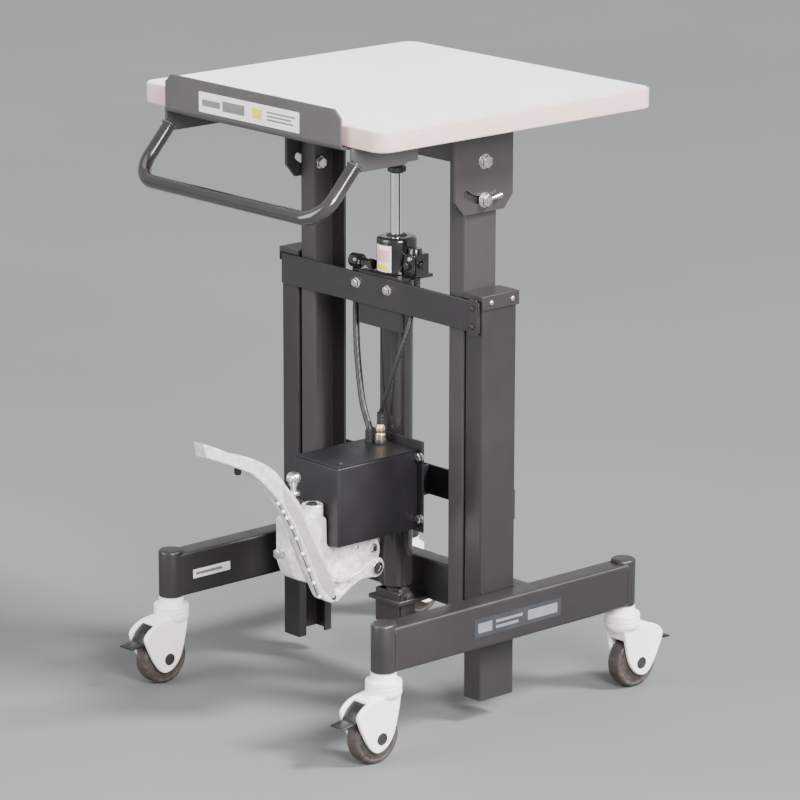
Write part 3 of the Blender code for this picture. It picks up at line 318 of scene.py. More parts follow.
def blend(tree, amount, first, second):
    """A colour between two others; each is a hex string or a socket."""
    pick = [linear(c) if isinstance(c, str) else c for c in (first, second)]
    mix = put(tree, "ShaderNodeMix", data_type="RGBA")
    for socket, value in ((mix.inputs[0], amount), (mix.inputs[6], pick[0]),
                          (mix.inputs[7], pick[1])):
        if isinstance(value, bpy.types.NodeSocket):
            tree.links.new(value, socket)
        else:
            socket.default_value = value
    return mix.outputs[2]


def bump(tree, shader, height, depth_mm, strength=1.0):
    """Sends a height of 0 to 1 to the shader's normal, depth_mm deep."""
    node = put(tree, "ShaderNodeBump", {"Height": height, "Distance": depth_mm * MM,
                                        "Strength": strength})
    tree.links.new(node.outputs["Normal"], shader.inputs["Normal"])


def enamel(name, light, dark, roughness, coat=0.0, peel_mm=3.2, peel_depth=0.05):
    """Baked enamel on steel: even colour, a soft sheen and the slight orange peel of sprayed
    paint.  The real peel is 1 to 2 mm; it is drawn at 3 mm and more so that it shows."""
    material, tree, shader, where = start_material(name, Coat_Weight=coat, Coat_Roughness=0.12)
    cloud = noise(tree, where, 160, 2)
    tree.links.new(blend(tree, ramp(tree, cloud, 0.35, 0.65, 0, 1), dark, light),
                   shader.inputs["Base Color"])
    handled = noise(tree, where, 34, 4)
    tree.links.new(ramp(tree, handled, 0.3, 0.7, roughness - 0.05, roughness + 0.07),
                   shader.inputs["Roughness"])
    bump(tree, shader, noise(tree, where, peel_mm, 1), peel_depth)
    return material


def laminate_white():
    """High-pressure laminate, pressed on a fine pebble plate: near white, with a soft sheen.
    The pebble is about 0.5 mm in life and is drawn at 1.6 mm so that it shows."""
    material, tree, shader, where = start_material("laminate_white_pebbled", Roughness=0.38)
    cloud = noise(tree, where, 120, 2)
    tree.links.new(blend(tree, ramp(tree, cloud, 0.3, 0.7, 0, 1), "#F8F7F8", "#FDFCFD"),
                   shader.inputs["Base Color"])
    bump(tree, shader, noise(tree, where, 1.6, 1), 0.03)
    return material


def edging_beige():
    """Extruded PVC edge band: pale beige with a pink cast and faint lines along its length."""
    material, tree, shader, where = start_material("pvc_edge_band_beige", Roughness=0.42)
    lines = noise(tree, where, 20, 2, (1.0, 1.0, 18.0))
    tree.links.new(blend(tree, ramp(tree, lines, 0.3, 0.7, 0, 1), "#D6B6B3", "#E0C2BF"),
                   shader.inputs["Base Color"])
    bump(tree, shader, lines, 0.04)
    return material


def moulded(name, light, dark, roughness, grain_mm=2.2, depth=0.05, **extra):
    """Injection-moulded plastic: even colour, a light spark-eroded grain and a soft sheen."""
    material, tree, shader, where = start_material(name, **extra)
    cloud = noise(tree, where, 28, 3)
    tree.links.new(blend(tree, ramp(tree, cloud, 0.3, 0.7, 0, 1), dark, light),
                   shader.inputs["Base Color"])
    grain = noise(tree, where, grain_mm, 2)
    tree.links.new(ramp(tree, grain, 0.3, 0.7, roughness - 0.06, roughness + 0.06),
                   shader.inputs["Roughness"])
    bump(tree, shader, grain, depth)
    return material


def plated(name, light, dark, roughness, scratch_mm=6, stretch=None, depth=0.02):
    """Plated or polished metal: bright, with a thin haze and fine rubbed marks."""
    material, tree, shader, where = start_material(name, Metallic=1.0)
    haze = noise(tree, where, scratch_mm, 4, stretch)
    tree.links.new(blend(tree, ramp(tree, haze, 0.3, 0.7, 0, 1), dark, light),
                   shader.inputs["Base Color"])
    tree.links.new(ramp(tree, haze, 0.25, 0.75, roughness * 0.7, roughness * 1.4),
                   shader.inputs["Roughness"])
    bump(tree, shader, haze, depth)
    return material


def cast_aluminium():
    """Tumbled sand casting: pale silver, fine pits 1 to 2 mm across and darker hollows."""
    material, tree, shader, where = start_material("aluminium_cast_tumbled", Metallic=0.35)
    pits = noise(tree, where, 3.0, 5)
    stain = noise(tree, where, 11, 4)
    tone = blend(tree, ramp(tree, stain, 0.38, 0.62, 0, 1), "#CFC9CA", "#F1ECEC")
    tree.links.new(blend(tree, ramp(tree, pits, 0.27, 0.4, 0, 1), "#A19B9C", tone),
                   shader.inputs["Base Color"])
    tree.links.new(ramp(tree, pits, 0.3, 0.7, 0.56, 0.34), shader.inputs["Roughness"])
    bump(tree, shader, pits, 0.2)
    return material


def machined_aluminium():
    """The pedal's ground flank: duller grey, with belt marks running along the arm."""
    material, tree, shader, where = start_material("aluminium_belt_ground", Metallic=0.3)
    marks = noise(tree, where, 5, 4, (1.0, 0.35, 2.2))
    tree.links.new(blend(tree, ramp(tree, marks, 0.3, 0.7, 0, 1), "#A39D9F", "#B9B3B5"),
                   shader.inputs["Base Color"])
    tree.links.new(ramp(tree, marks, 0.3, 0.7, 0.52, 0.4), shader.inputs["Roughness"])
    bump(tree, shader, marks, 0.06)
    return material


def tyre_polyurethane():
    """Cast polyurethane tread, grey-brown and dulled where it has rolled."""
    material, tree, shader, where = start_material("polyurethane_tread_grey")
    scuff = noise(tree, where, 7, 5)
    tree.links.new(blend(tree, ramp(tree, scuff, 0.35, 0.65, 0, 1), "#342D2B", "#4C4340"),
                   shader.inputs["Base Color"])
    tree.links.new(ramp(tree, scuff, 0.3, 0.7, 0.5, 0.68), shader.inputs["Roughness"])
    bump(tree, shader, noise(tree, where, 2.5, 3), 0.1)
    return material


def hose_cover():
    """Smooth nitrile hose cover with the faint lay of the cloth it was cured in."""
    material, tree, shader, where = start_material("nitrile_hose_cover")
    wrap = put(tree, "ShaderNodeTexWave", {"Vector": where, "Scale": 70.0, "Distortion": 1.5},
               bands_direction="DIAGONAL").outputs["Fac"]
    tree.links.new(blend(tree, wrap, "#1B1A1B", "#2B292A"), shader.inputs["Base Color"])
    tree.links.new(ramp(tree, wrap, 0, 1, 0.36, 0.5), shader.inputs["Roughness"])
    bump(tree, shader, wrap, 0.06)
    return material


def floor_paper():
    """Seamless studio paper, mid grey and matt, with a barely seen mottling."""
    material, tree, shader, where = start_material("studio_paper_grey", Roughness=0.85)
    cloud = noise(tree, where, 900, 2)
    tree.links.new(blend(tree, ramp(tree, cloud, 0.3, 0.7, 0, 1), "#696A6A", "#6D6E6E"),
                   shader.inputs["Base Color"])
    return material


FINISHES = {}


def make_finishes(sizes):
    """Every finish, once, keyed by a short name."""
    FINISHES.update(
        charcoal=enamel("steel_enamel_charcoal_satin", sizes.frame_colour, "#262325", 0.34, 0.06),
        # A lighter copy of the frame charcoal for the inner posts, lugs and lift beam up near the
        # top: painted light, brighter towards the top.
        inner=enamel("steel_enamel_charcoal_painted_upper_light", "#393537", "#343133", 0.38, 0.05),
        # A lighter copy again for the gussets, handle plate and handle welds right under the top:
        # painted light from above.
        plate=enamel("steel_enamel_charcoal_painted_top_light", "#4F4C4D", "#494647", 0.42),
        ram_paint=enamel("steel_enamel_black_satin", "#262324", "#1F1C1D", 0.22, 0.3, 8, 0.03),
        gloss_tube=enamel("steel_enamel_black_gloss", "#2C292A", "#232021", 0.16, 0.8, 8, 0.03),
        tank=enamel("steel_enamel_slate_satin", "#1D1B1F", "#181619", 0.42),
        head=enamel("steel_enamel_black_high_gloss", "#1D1C1E", "#151416", 0.16, 0.7, 5, 0.05),
        laminate=laminate_white(),
        edging=edging_beige(),
        cap=moulded("polyethylene_charcoal_moulded", "#2E2B2D", "#292628", 0.46),
        black=moulded("polyamide_black_moulded", "#2A2829", "#201E1F", 0.45),
        brake=moulded("nylon_black_moulded", "#161517", "#101011", 0.34, 3.0, 0.04),
        shoe=moulded("nylon_natural_milled", "#D8D3C6", "#C9C3B5", 0.5),
        housing=moulded("nylon_white_moulded", sizes.caster_colour, "#F1EAEC", 0.36, 3.0, 0.03,
                        Subsurface_Weight=0.05, Subsurface_Scale=0.004),
        axle_cap=moulded("polypropylene_grey_moulded", "#302C2D", "#272425", 0.42),
        chrome=plated("steel_hard_chromed", "#F2F1F1", "#E6E5E6", 0.07, 30),
        zinc=plated("steel_zinc_plated_bright", "#E9E7E2", "#C9C8C6", 0.26, 5),
        cast=cast_aluminium(),
        ground=machined_aluminium(),
        brass=plated("brass_turned", "#F0DDBB", "#D9BE92", 0.36, 6, (1.0, 1.0, 8.0)),
        tyre=tyre_polyurethane(),
        hose=hose_cover(),
        label=moulded("vinyl_label_white", "#F3F1EE", "#ECEAE7", 0.35, 4, 0.01),
        ink=moulded("screen_ink_grey", "#7B7A7B", "#6C6B6C", 0.4, 4, 0.01),
        patch=moulded("screen_ink_yellow", "#E6DC3E", "#D9CE35", 0.4, 4, 0.01),
        blush=moulded("screen_ink_pale_red", "#E2B7B0", "#D9A9A2", 0.4, 4, 0.01),
        night=moulded("vinyl_label_dark", "#35363B", "#2C2D32", 0.35, 4, 0.01),
    )


# ---------------------------------------------------------------- hardware

def bolt(centre, axis, across_flats, height, out=1, washer=None):
    """A hex head on a washer: a hexagonal lathe with a domed end, standing out along an axis."""
    r, h = across_flats / 2 / math.cos(math.pi / 6), height
    w = washer or across_flats * 0.62
    flange = [(0.05 * MM, 0), (w, 0), (w, 0.9 * MM), (w - 0.4 * MM, 1.3 * MM),
              (0.05 * MM, 1.3 * MM)]
    head = [(0.05 * MM, 1.2 * MM), (r * 0.96, 1.2 * MM), (r, 1.7 * MM), (r, h - 0.9 * MM),
            (r * 0.93, h - 0.3 * MM), (r * 0.8, h), (r * 0.2, h), (0.05 * MM, h)]
    return [turned([(a, out * b) for a, b in flange], centre, axis, 40),
            turned([(a, out * b) for a, b in head], centre, axis, 48, hexagon)]


def screw(centre, axis, radius, height, out=1):
    """A pan-head screw: r falls off as the square root of what is left of the height."""
    t = np.linspace(0, 1, 8)
    rise = np.stack([radius * np.sqrt(1 - 0.96 * t ** 2), out * height * (0.25 + 0.75 * t)], -1)
    profile = np.concatenate([[(0.05 * MM, 0), (radius, 0)], rise, [(0.05 * MM, out * height)]])
    return [turned(profile, centre, axis, 28)]


def weld(path, radius, across, pitch=3.2 * MM):
    """A weld bead: a tube whose radius ripples once for every pitch of its length."""
    path = np.asarray(path, float)
    step = np.linalg.norm(np.diff(path, axis=0), axis=1)
    along = np.concatenate([[0], np.cumsum(step)])
    ends = np.minimum(1, np.minimum(along, along[-1] - along) / (2 * radius) + 0.25)
    r = radius * (0.86 + 0.14 * np.cos(TAU * along / pitch)) * ends
    return tube(path, r, across, 10)


def line(start, end, count):
    """count points from start to end."""
    return np.linspace(np.asarray(start, float), np.asarray(end, float), count)


def label(corner, right, up, width, height, finish, name, body, lift=0.25 * MM, thick=0.2 * MM):
    """A thin stuck-on rectangle: corner + s right + t up, with eased corners."""
    right, up = Vector(right).normalized(), Vector(up).normalized()
    out = right.cross(up)
    matrix = Matrix((right, up, out)).transposed().to_4x4()
    matrix.translation = Vector(corner) + out * lift
    r = min(1.2 * MM, height * 0.2)
    outline = filleted([(0, 0), (width, 0), (width, height), (0, height)], r, steps=3)
    return piece(name, [moved(plate(outline, 0, thick, "Z", thick * 0.3, 1), matrix)],
                 finish, body)


# ---------------------------------------------------------------- table and handle

def build_top(sizes):
    """The board and its edge band, from the frame's box of the top."""
    low, high = box("table_top")
    r = sizes.corner_radius
    band, ease = 2.2 * MM, sizes.edge_round
    cx, cy = (low[:2] + high[:2]) / 2
    half = (high[:2] - low[:2]) / 2

    def rounded_square(inward):
        corner = np.stack([np.cos(CORNER_TURN), np.sin(CORNER_TURN)], -1) * (r - inward)
        spots = []
        for k, (sx, sy) in enumerate(((1, 1), (-1, 1), (-1, -1), (1, -1))):
            turn = np.array([[math.cos(k * math.pi / 2), -math.sin(k * math.pi / 2)],
                             [math.sin(k * math.pi / 2), math.cos(k * math.pi / 2)]])
            spots.append(corner @ turn.T + np.array([sx, sy]) * (half - r))
        return np.concatenate(spots) + (cx, cy)

    board = plate(rounded_square(band + 0.05 * MM), low[2] + 0.05 * MM, high[2], "Z", 0.3 * MM, 2)
    piece("top_board", [board], "laminate", "table", ("table_top",))
    a = np.linspace(0, math.pi / 2, 7)
    side_in = [(band, high[2] - 0.05 * MM), (ease, high[2])]
    over = [(ease * (1 - math.sin(t)), high[2] - ease * (1 - math.cos(t))) for t in a[1:]]
    under = [(ease * (1 - math.sin(t)), low[2] + ease * (1 - math.cos(t))) for t in a[::-1]]
    rim = side_in + over + under + [(band, low[2] + POLE)]
    grid = np.stack([np.concatenate([rounded_square(d), np.full((4 * len(CORNER_TURN), 1), z)], -1)
                     for d, z in rim])
    piece("top_edge_band", [shell(grid, loop=True)], "edging", "table")


def handle_path(sizes):
    """The push handle's centre line: two straight legs, two quarter bends and the bar."""
    low, high = box("handle")
    r = sizes.handle_radius
    x = high[0] - r
    slope = math.radians(47.5)
    up = np.array([0, math.cos(slope), math.sin(slope)])
    bar = np.array([0, low[1] + r, low[2] + r])
    length = (high[2] - r * math.cos(slope) - bar[2]) / math.sin(slope)
    bend = 38 * MM
    a = np.linspace(0, math.pi / 2, 22)
    runs = []
    for side in (-1, 1):
        foot = bar + (side * x, 0, 0)
        centre = foot + np.array([-side, 0, 0]) * bend + up * bend
        arc = centre + np.outer(np.cos(a), (side * bend, 0, 0)) - np.outer(np.sin(a), up * bend)
        leg = line(foot + up * length, foot + up * bend, 18)[:-1]
        run = np.concatenate([leg, arc])
        runs.append(run if side < 0 else run[::-1])
    return np.concatenate([runs[0], line(runs[0][-1], runs[1][0], 40)[1:-1], runs[1]]), up


def build_handle(sizes):
    """The bent tube, its welds, the folded plate, its label and the brackets under the top."""
    path, up = handle_path(sizes)
    flat = np.cross(up, (1, 0, 0))
    piece("push_handle", [tube(path, sizes.handle_radius, flat, 40)], "gloss_tube",
          "table", ("handle",))
    beads = []
    for end in (path[0], path[-1]):
        a = np.linspace(0, TAU, 60)
        r = sizes.handle_radius + 0.2 * MM
        ring = end - up * 2.5 * MM + np.outer(np.cos(a), (r, 0, 0)) + np.outer(np.sin(a), flat * r)
        beads.append(weld(ring, 1.7 * MM, up))
    piece("handle_welds", beads, "plate", "table")
    eased("handle_plate", 1.0 * MM, "plate", "table")
    for hand in ("left", "right"):
        eased(f"gusset_{hand}", 0.9 * MM, "plate", "table")
        eased(f"lug_{hand}", 0.8 * MM, "inner", "table")
    y, z = box("handle_plate")[0][1] - 0.02 * MM, 842 * MM
    right, upward = (1, 0, 0), (0, 0, 1)
    label((-108 * MM, y, z), right, upward, 208 * MM, 28 * MM, "label", "plate_label", "table")
    for k, (x, w, dz, h) in enumerate(((-101, 38, 9, 9), (-58, 46, 7, 14), (34, 58, 18, 2.4),
                                       (34, 50, 13, 2.4), (34, 54, 8, 2.4))):
        label((x * MM, y - INK_LIFT, z + dz * MM), right, upward, w * MM, h * MM, "ink",
              f"plate_label_bar_{k}", "table", thick=INK_THICK)
    label((4 * MM, y - INK_LIFT, z + 7 * MM), right, upward, 20 * MM, 14 * MM, "patch",
          "plate_label_patch", "table", thick=INK_THICK)


# ---------------------------------------------------------------- posts and frame

def rolled_channel(low, high, side, wall, lip, bend):
    """A rolled C section standing in a box, its web on the outer side: the outline goes round the
    outside with corners of radius bend, turns in at the lips and comes back one wall inside."""
    mouth, web = (low[0], high[0]) if side > 0 else (high[0], low[0])
    y0, y1 = low[1], high[1]
    inside = side * wall
    outer = [(mouth, y0), (web, y0), (web, y1), (mouth, y1)]
    if lip:
        rest = [(mouth, y1 - lip), (mouth + inside, y1 - lip), (mouth + inside, y1 - wall),
                (web - inside, y1 - wall), (web - inside, y0 + wall), (mouth + inside, y0 + wall),
                (mouth + inside, y0 + lip), (mouth, y0 + lip)]
    else:
        rest = [(mouth, y1 - wall), (web - inside, y1 - wall), (web - inside, y0 + wall),
                (mouth, y0 + wall)]
    radii = [bend if lip else 1.0 * MM, bend, bend,
             bend if lip else 1.0 * MM] + [0.9 * MM] * len(rest)
    return plate(filleted(outer + rest, radii, steps=6), low[2], high[2], "Z", 0.4 * MM, 1)


def build_posts(sizes):
    """The four channel posts, the lift beam, shoes, caps and all their fixings."""
    for hand, side in (("left", -1), ("right", 1)):
        piece(f"inner_channel_{hand}", [rolled_channel(*box(f"inner_post_{hand}"), side, 4 * MM, 0,
                                                       3.2 * MM)],
              "inner", "lift", (f"inner_post_{hand}",))
        piece(f"outer_channel_{hand}",
              [rolled_channel(*box(f"outer_post_{hand}"), side, 3.5 * MM, 14 * MM, 3.8 * MM)],
              "charcoal", "frame", (f"outer_post_{hand}",))
        eased(f"guide_shoe_{hand}", 0.8 * MM, "shoe", "lift")
        eased(f"post_cap_{hand}", 0.7 * MM, "cap", "frame")
        low, high = box(f"post_cap_{hand}")
        face = high[0] if side > 0 else low[0]
        spots = []
        for y in (-18, 21):
            spots += screw((face, AXIS_Y + y * MM, high[2] - 10 * MM), "X", 3.6 * MM, 2.6 * MM,
                           side)
        piece(f"cap_screws_{hand}", spots, "zinc", "frame")
        for name, z, tail in (("pivot", PIVOT_Z, False), ("clamp", CLAMP_Z, True)):
            base = side * LUG_FACE_X
            parts = bolt((base, AXIS_Y, z), "X", 15 * MM, 8.5 * MM, side, 10.5 * MM)
            shank = turned([(4.9 * MM, 0), (4.9 * MM, -19 * MM * side),
                            (4.2 * MM, -20 * MM * side)],
                           (base, AXIS_Y, z), "X", 28)
            nut = bolt((side * POST_INNER_X, AXIS_Y, z), "X", 14 * MM, 7.5 * MM, -side, 9 * MM)
            parts += [shank] + nut
            if tail:
                start = np.array([base + side * 5 * MM, AXIS_Y, z])
                path = line(start, start + (0, 26 * MM, 4 * MM), 20)
                grip = 2.6 * MM + 1.2 * MM * np.linspace(0, 1, 20) ** 2
                parts.append(tube(path, grip, (1, 0, 0), 20))
            piece(f"{name}_bolt_set_{hand}", parts, "zinc", "lift",
                  (f"{name}_bolt_{hand}",))
    eased("lift_beam", 1.0 * MM, "inner", "lift")
    for node, width, finish in (("front_bar", 0.9, "charcoal"), ("rear_bar", 0.9, "charcoal"),
                                ("base_tube", 0.8, "charcoal")):
        eased(node, width * MM, finish, "frame")
    bar_face = box("front_bar")[0][1]
    front = bar_face - 2.6 * MM
    strip = filleted(mm([(188, 549.5), (204.5, 549.5), (204.5, 600), (188, 600)]), 2.5 * MM)
    piece("bar_end_plate", [plate(strip, front, bar_face - 0.1 * MM, "Y", 0.6 * MM)],
          "charcoal", "frame")
    fixings = []
    for z in (563, 588):
        fixings += bolt((196 * MM, front, z * MM), "Y", 7 * MM, 3.4 * MM, -1, 4 * MM)
    piece("bar_end_screws", fixings, "black", "frame")
    fixings = []
    for x in BAR_BOLT_X:
        fixings += bolt((x, bar_face, BAR_BOLT_Z), "Y", 11 * MM, 6 * MM, -1, 7.5 * MM)
    piece("bar_bolts", fixings, "zinc", "frame")


def build_legs(sizes):
    """The two legs with their caster sockets, end welds and the seams to the base tube."""
    for hand, side in (("left", -1), ("right", 1)):
        low, high = box(f"leg_{hand}")
        middle = (low[0] + high[0]) / 2
        top, bottom = high[2] - 5 * MM, low[2]
        half = (high[0] - low[0]) / 2
        outline = filleted([(middle - half, bottom), (middle + half, bottom), (middle + half, top),
                            (middle - half, top)], 5.5 * MM, steps=6)
        ends = (low[1] + half, high[1] - half)
        parts = [plate(outline, ends[0], ends[1], "Y", 0.3 * MM, 1)]
        lip = 2.2 * MM
        profile = [(0.2 * MM, bottom), (half - lip, bottom), (half - 0.5 * MM, bottom + 0.6 * MM),
                   (half, bottom + lip), (half, high[2] - 4 * MM),
                   (half - 0.7 * MM, high[2] - 1.6 * MM), (half - 2.4 * MM, high[2] - 0.3 * MM),
                   (half - 5 * MM, high[2]), (0.2 * MM, high[2])]
        for y in ends:
            parts.append(turned(profile, (middle, y, 0), "Z", 72))
        piece(f"leg_tube_{hand}", parts, "charcoal", "frame",
              (f"leg_{hand}",))
        beads = []
        for y, out in ((ends[0], 1), (ends[1], -1)):
            for face in (-1, 1):
                x = middle + face * (half - 0.2 * MM)
                foot = (x, y + out * 6.5 * MM, bottom + 6 * MM)
                beads.append(weld(line(foot, (foot[0], foot[1], top - 6 * MM), 60), 1.3 * MM,
                                  (1, 0, 0)))
            across = line((middle - half + 7 * MM, y + out * half * 0.94, top - 0.1 * MM),
                          (middle + half - 7 * MM, y + out * half * 0.94, top - 0.1 * MM), 40)
            beads.append(weld(across, 1.3 * MM, (0, 0, 1)))
        inner = side * LEG_INNER_X
        for y in (-32.2, 32.2):
            beads.append(weld(line((inner, AXIS_Y + y * MM, 130 * MM),
                                   (inner, AXIS_Y + y * MM, 182 * MM), 60),
                              1.6 * MM, (1, 0, 0)))
        piece(f"leg_welds_{hand}", beads, "charcoal", "frame")
    low, high = box("leg_right")
    y, z = AXIS_Y - 76 * MM, 141 * MM
    label((high[0], y, z), (0, 1, 0), (0, 0, 1), 163 * MM, 26 * MM, "night", "leg_label", "frame")
    for k, (dy, w, dz, h) in enumerate(((7, 26, 6, 14), (40, 50, 15, 4), (40, 42, 7, 4),
                                        (100, 56, 6, 14))):
        label((high[0] + INK_LIFT, y + dy * MM, z + dz * MM), (0, 1, 0), (0, 0, 1), w * MM, h * MM,
              "ink", f"leg_label_block_{k}", "frame", thick=INK_THICK)
    low, high = box("leg_left")
    label((high[0], AXIS_Y - 199 * MM, 147 * MM), (0, 1, 0), (0, 0, 1), 68 * MM, 13 * MM, "label",
          "leg_tag", "frame")
    label((high[0] + INK_LIFT, AXIS_Y - 194 * MM, 151.5 * MM), (0, 1, 0), (0, 0, 1), 48 * MM,
          4 * MM, "ink", "leg_tag_bar", "frame", thick=INK_THICK)


# ---------------------------------------------------------------- hydraulic ram

def build_ram(sizes):
    """The cylinder, its head and ports, the chromed rod, the saddle and the foot."""
    low, high = box("cylinder_tube")
    r = (high[0] - low[0]) / 2
    axis = (0, AXIS_Y, 0)
    wall = [(0.2 * MM, low[2]), (r - 2 * MM, low[2]), (r, low[2] + 2 * MM), (r, high[2] - 1 * MM),
            (r - 0.8 * MM, high[2]), (18.2 * MM, high[2]), (18.2 * MM, low[2] + 12 * MM),
            (0.2 * MM, low[2] + 12 * MM)]
    piece("ram_cylinder", [turned(wall, axis, "Z", 96)], "ram_paint", "frame",
          ("cylinder_tube",))
    low, high = box("cylinder_head")
    r = (high[0] - low[0]) / 2
    h0, h1 = low[2], high[2]
    head = [(9.8 * MM, h0), (r - 1 * MM, h0), (r, h0 + 1 * MM), (r, h1 - 5 * MM),
            (r - 0.5 * MM, h1 - 3 * MM), (r - 1.6 * MM, h1 - 1.4 * MM),
            (r - 3.2 * MM, h1 - 0.4 * MM), (r - 5 * MM, h1), (15 * MM, h1),
            (13.6 * MM, h1 - 1.5 * MM), (13 * MM, h1 - 4 * MM), (9.8 * MM, h1 - 4.2 * MM)]
    piece("ram_head", [turned(head, axis, "Z", 96, loop=True)], "head", "frame",
          ("cylinder_head",))
    low, high = box("head_valve_block")
    outline = filleted([(low[0], low[1]), (high[0], low[1]), (high[0], high[1]), (low[0], high[1])],
                       5 * MM)
    block = [plate(outline, low[2], high[2], "Z", 1.6 * MM)]
    mid = (low + high) / 2
    block.append(turned([(POLE, low[2] + 5 * MM), (9 * MM, low[2] + 5 * MM),
                         (9.6 * MM, low[2] + 6 * MM), (9.6 * MM, high[2] + 5 * MM),
                         (8.4 * MM, high[2] + 7 * MM), (POLE, high[2] + 7 * MM)],
                        (mid[0] - 2 * MM, mid[1], 0), "Z", 48))
    piece("head_port_block", block, "head", "frame", ("head_valve_block",))
    caps = bolt((high[0], mid[1] - 2 * MM, mid[2] + 2 * MM), "X", 11 * MM, 6 * MM, 1)
    caps += bolt((mid[0], low[1], mid[2]), "Y", 10 * MM, 5 * MM, -1)
    piece("head_port_plugs", caps, "head", "frame")
    piece("head_port_screw", bolt((high[0] - 8 * MM, low[1], high[2] - 6 * MM), "Y", 6 * MM, 3 * MM,
                                  -1),
          "zinc", "frame")
    low, high = box("head_fitting")
    mid = (low + high) / 2
    neck = [(POLE, high[0]), (7.4 * MM, high[0]), (7.4 * MM, high[0] - 9 * MM),
            (6 * MM, high[0] - 10 * MM), (6 * MM, low[0] + 20 * MM), (8.4 * MM, low[0] + 19 * MM),
            (POLE, low[0] + 19 * MM)]
    knob = mm([(0.1, 19), (10, 18.6), (10.5, 17.6), (10.5, 3), (9.6, 1), (7, 0), (0.1, 0)])
    knob += (0, low[0])
    piece("head_banjo", [turned(neck, (0, mid[1], mid[2]), "X", 48, hexagon),
                         turned(knob, (0, mid[1], mid[2]), "X", 48)],
          "head", "frame", ("head_fitting",))
    low, high = box("ram_rod")
    r = 9.2 * MM
    rod = [(POLE, low[2]), (17.6 * MM, low[2]), (17.6 * MM, low[2] + 26 * MM),
           (r, low[2] + 26 * MM), (r, high[2] - 1.4 * MM), (r - 1.4 * MM, high[2]), (POLE, high[2])]
    piece("chromed_rod", [turned(rod, axis, "Z", 64)], "chrome", "lift", ("ram_rod",))
    low, high = box("ram_rod_end")
    collar = [(POLE, low[2]), (12 * MM, low[2]), (13 * MM, low[2] + 1 * MM),
              (13 * MM, low[2] + 6 * MM), (12 * MM, low[2] + 7 * MM), (8 * MM, low[2] + 7.2 * MM),
              (8 * MM, high[2]), (POLE, high[2])]
    piece("rod_collar", [turned(collar, axis, "Z", 64)], "black", "lift",
          ("ram_rod_end",))
    wiper = mm([(9.7, -4.3), (14, -4.3), (13.6, 1.3), (11, 2.3), (9.7, 1.9)]) + (0, h1)
    piece("rod_wiper", [turned(wiper, axis, "Z", 96, loop=True)], "hose", "frame")
    eased("cylinder_saddle", 1.0 * MM, "charcoal", "frame")
    eased("cylinder_foot", 0.8 * MM, "charcoal", "frame")
    low, high = box("cylinder_foot")
    pin = mm([(0.1, 17.5), (8.4, 17.5), (8.4, 24), (7.4, 25.4), (0.1, 25.4)])
    piece("foot_pin", [turned(pin, (0, AXIS_Y - 4 * MM, low[2] + 15 * MM), "X", 36)],
          "black", "frame")
    cheek = filleted(mm([(-16.5, 92), (14, 92), (14, 130), (6, 141), (-16.5, 141)]) + (AXIS_Y, 0),
                     3 * MM)
    front_leaf = filleted(mm([(-25, 92), (25, 92), (25, 141), (-25, 141)]), 3 * MM)
    bracket = [plate(cheek, x * MM, (x + 4) * MM, "X", 0.7 * MM) for x in (-25, 21)]
    bracket.append(plate(front_leaf, AXIS_Y - 17 * MM, AXIS_Y - 13 * MM, "Y", 0.8 * MM))
    piece("foot_bracket", bracket, "charcoal", "frame")
    rivets = bolt((25 * MM, AXIS_Y, 132 * MM), "X", 12 * MM, 5 * MM, 1, 7 * MM)
    rivets += bolt((-25 * MM, AXIS_Y, 132 * MM), "X", 12 * MM, 5 * MM, -1, 7 * MM)
    piece("foot_bracket_bolts", rivets, "black", "frame")
    a = math.radians(-86)
    rows = ((0, 37, "label", "head_label", 0), (1.5, 8, "patch", "head_label_foot", 0.22),
            (13, 17, "blush", "head_label_field", 0.22))
    for dz, h, key, name, lift in rows:
        half_turn = 0.5 if key == "label" else 0.4
        t = np.linspace(-half_turn, half_turn, 14)
        rim = []
        for radius in (HEAD_R + (0.1 + lift) * MM, HEAD_R + (0.32 + lift) * MM):
            spots = np.stack([radius * np.cos(a + t), radius * np.sin(a + t) + AXIS_Y, t * 0], -1)
            rim.append(spots)
        loop = np.concatenate([rim[0], rim[1][::-1]])
        z0 = 604 * MM + dz * MM
        grid = np.stack([loop + (0, 0, z0), loop + (0, 0, z0 + h * MM)])
        piece(name, [shell(grid)], key, "frame")


# ---------------------------------------------------------------- foot pump

def build_tank(sizes):
    """The folded tank with its lid lip and screws, the bracket plate, and the hoses above it."""
    low, high = box("tank")
    inside = filleted([(low[0], low[1]), (high[0], low[1]), (high[0], high[1]), (low[0], high[1])],
                      3.5 * MM, steps=5)
    seam = high[2] - 2.2 * MM
    body = plate(inside, low[2], seam, "Z", 2.2 * MM, 4)
    lid = plate(inside, seam + 0.25 * MM, high[2], "Z", 0.7 * MM, 2)
    piece("oil_tank", [body, lid], "tank", "frame", ("tank",))
    eased("pump_bracket", 0.8 * MM, "tank", "frame")
    fixings = screw((high[0] - 14 * MM, low[1] + 16 * MM, high[2]), "Z", 3.6 * MM, 2.2 * MM, 1)
    piece("tank_lid_screw", fixings, "cap", "frame")
    plate_low, plate_high = box("pump_bracket")
    bolts = []
    for z in (plate_high[2] - 22 * MM, plate_low[2] + 20 * MM):
        bolts += bolt((plate_high[0] - 3.5 * MM, plate_low[1], z), "Y", 11 * MM, 7.5 * MM, -1,
                      6.2 * MM)
    bolts += bolt((plate_low[0] + 3.5 * MM, plate_low[1], plate_high[2] - 22 * MM), "Y", 11 * MM,
                  7.5 * MM, -1, 6.2 * MM)
    piece("bracket_bolts", bolts, "zinc", "frame")
    disc = mm([(0.1, 0), (12, 0), (12, -2), (11, -3), (0.1, -3)]) + (0, low[1])
    piece("tank_plug", [turned(disc, (low[0] + 14 * MM, 0, low[2] + 42 * MM), "Y", 40)],
          "black", "frame")


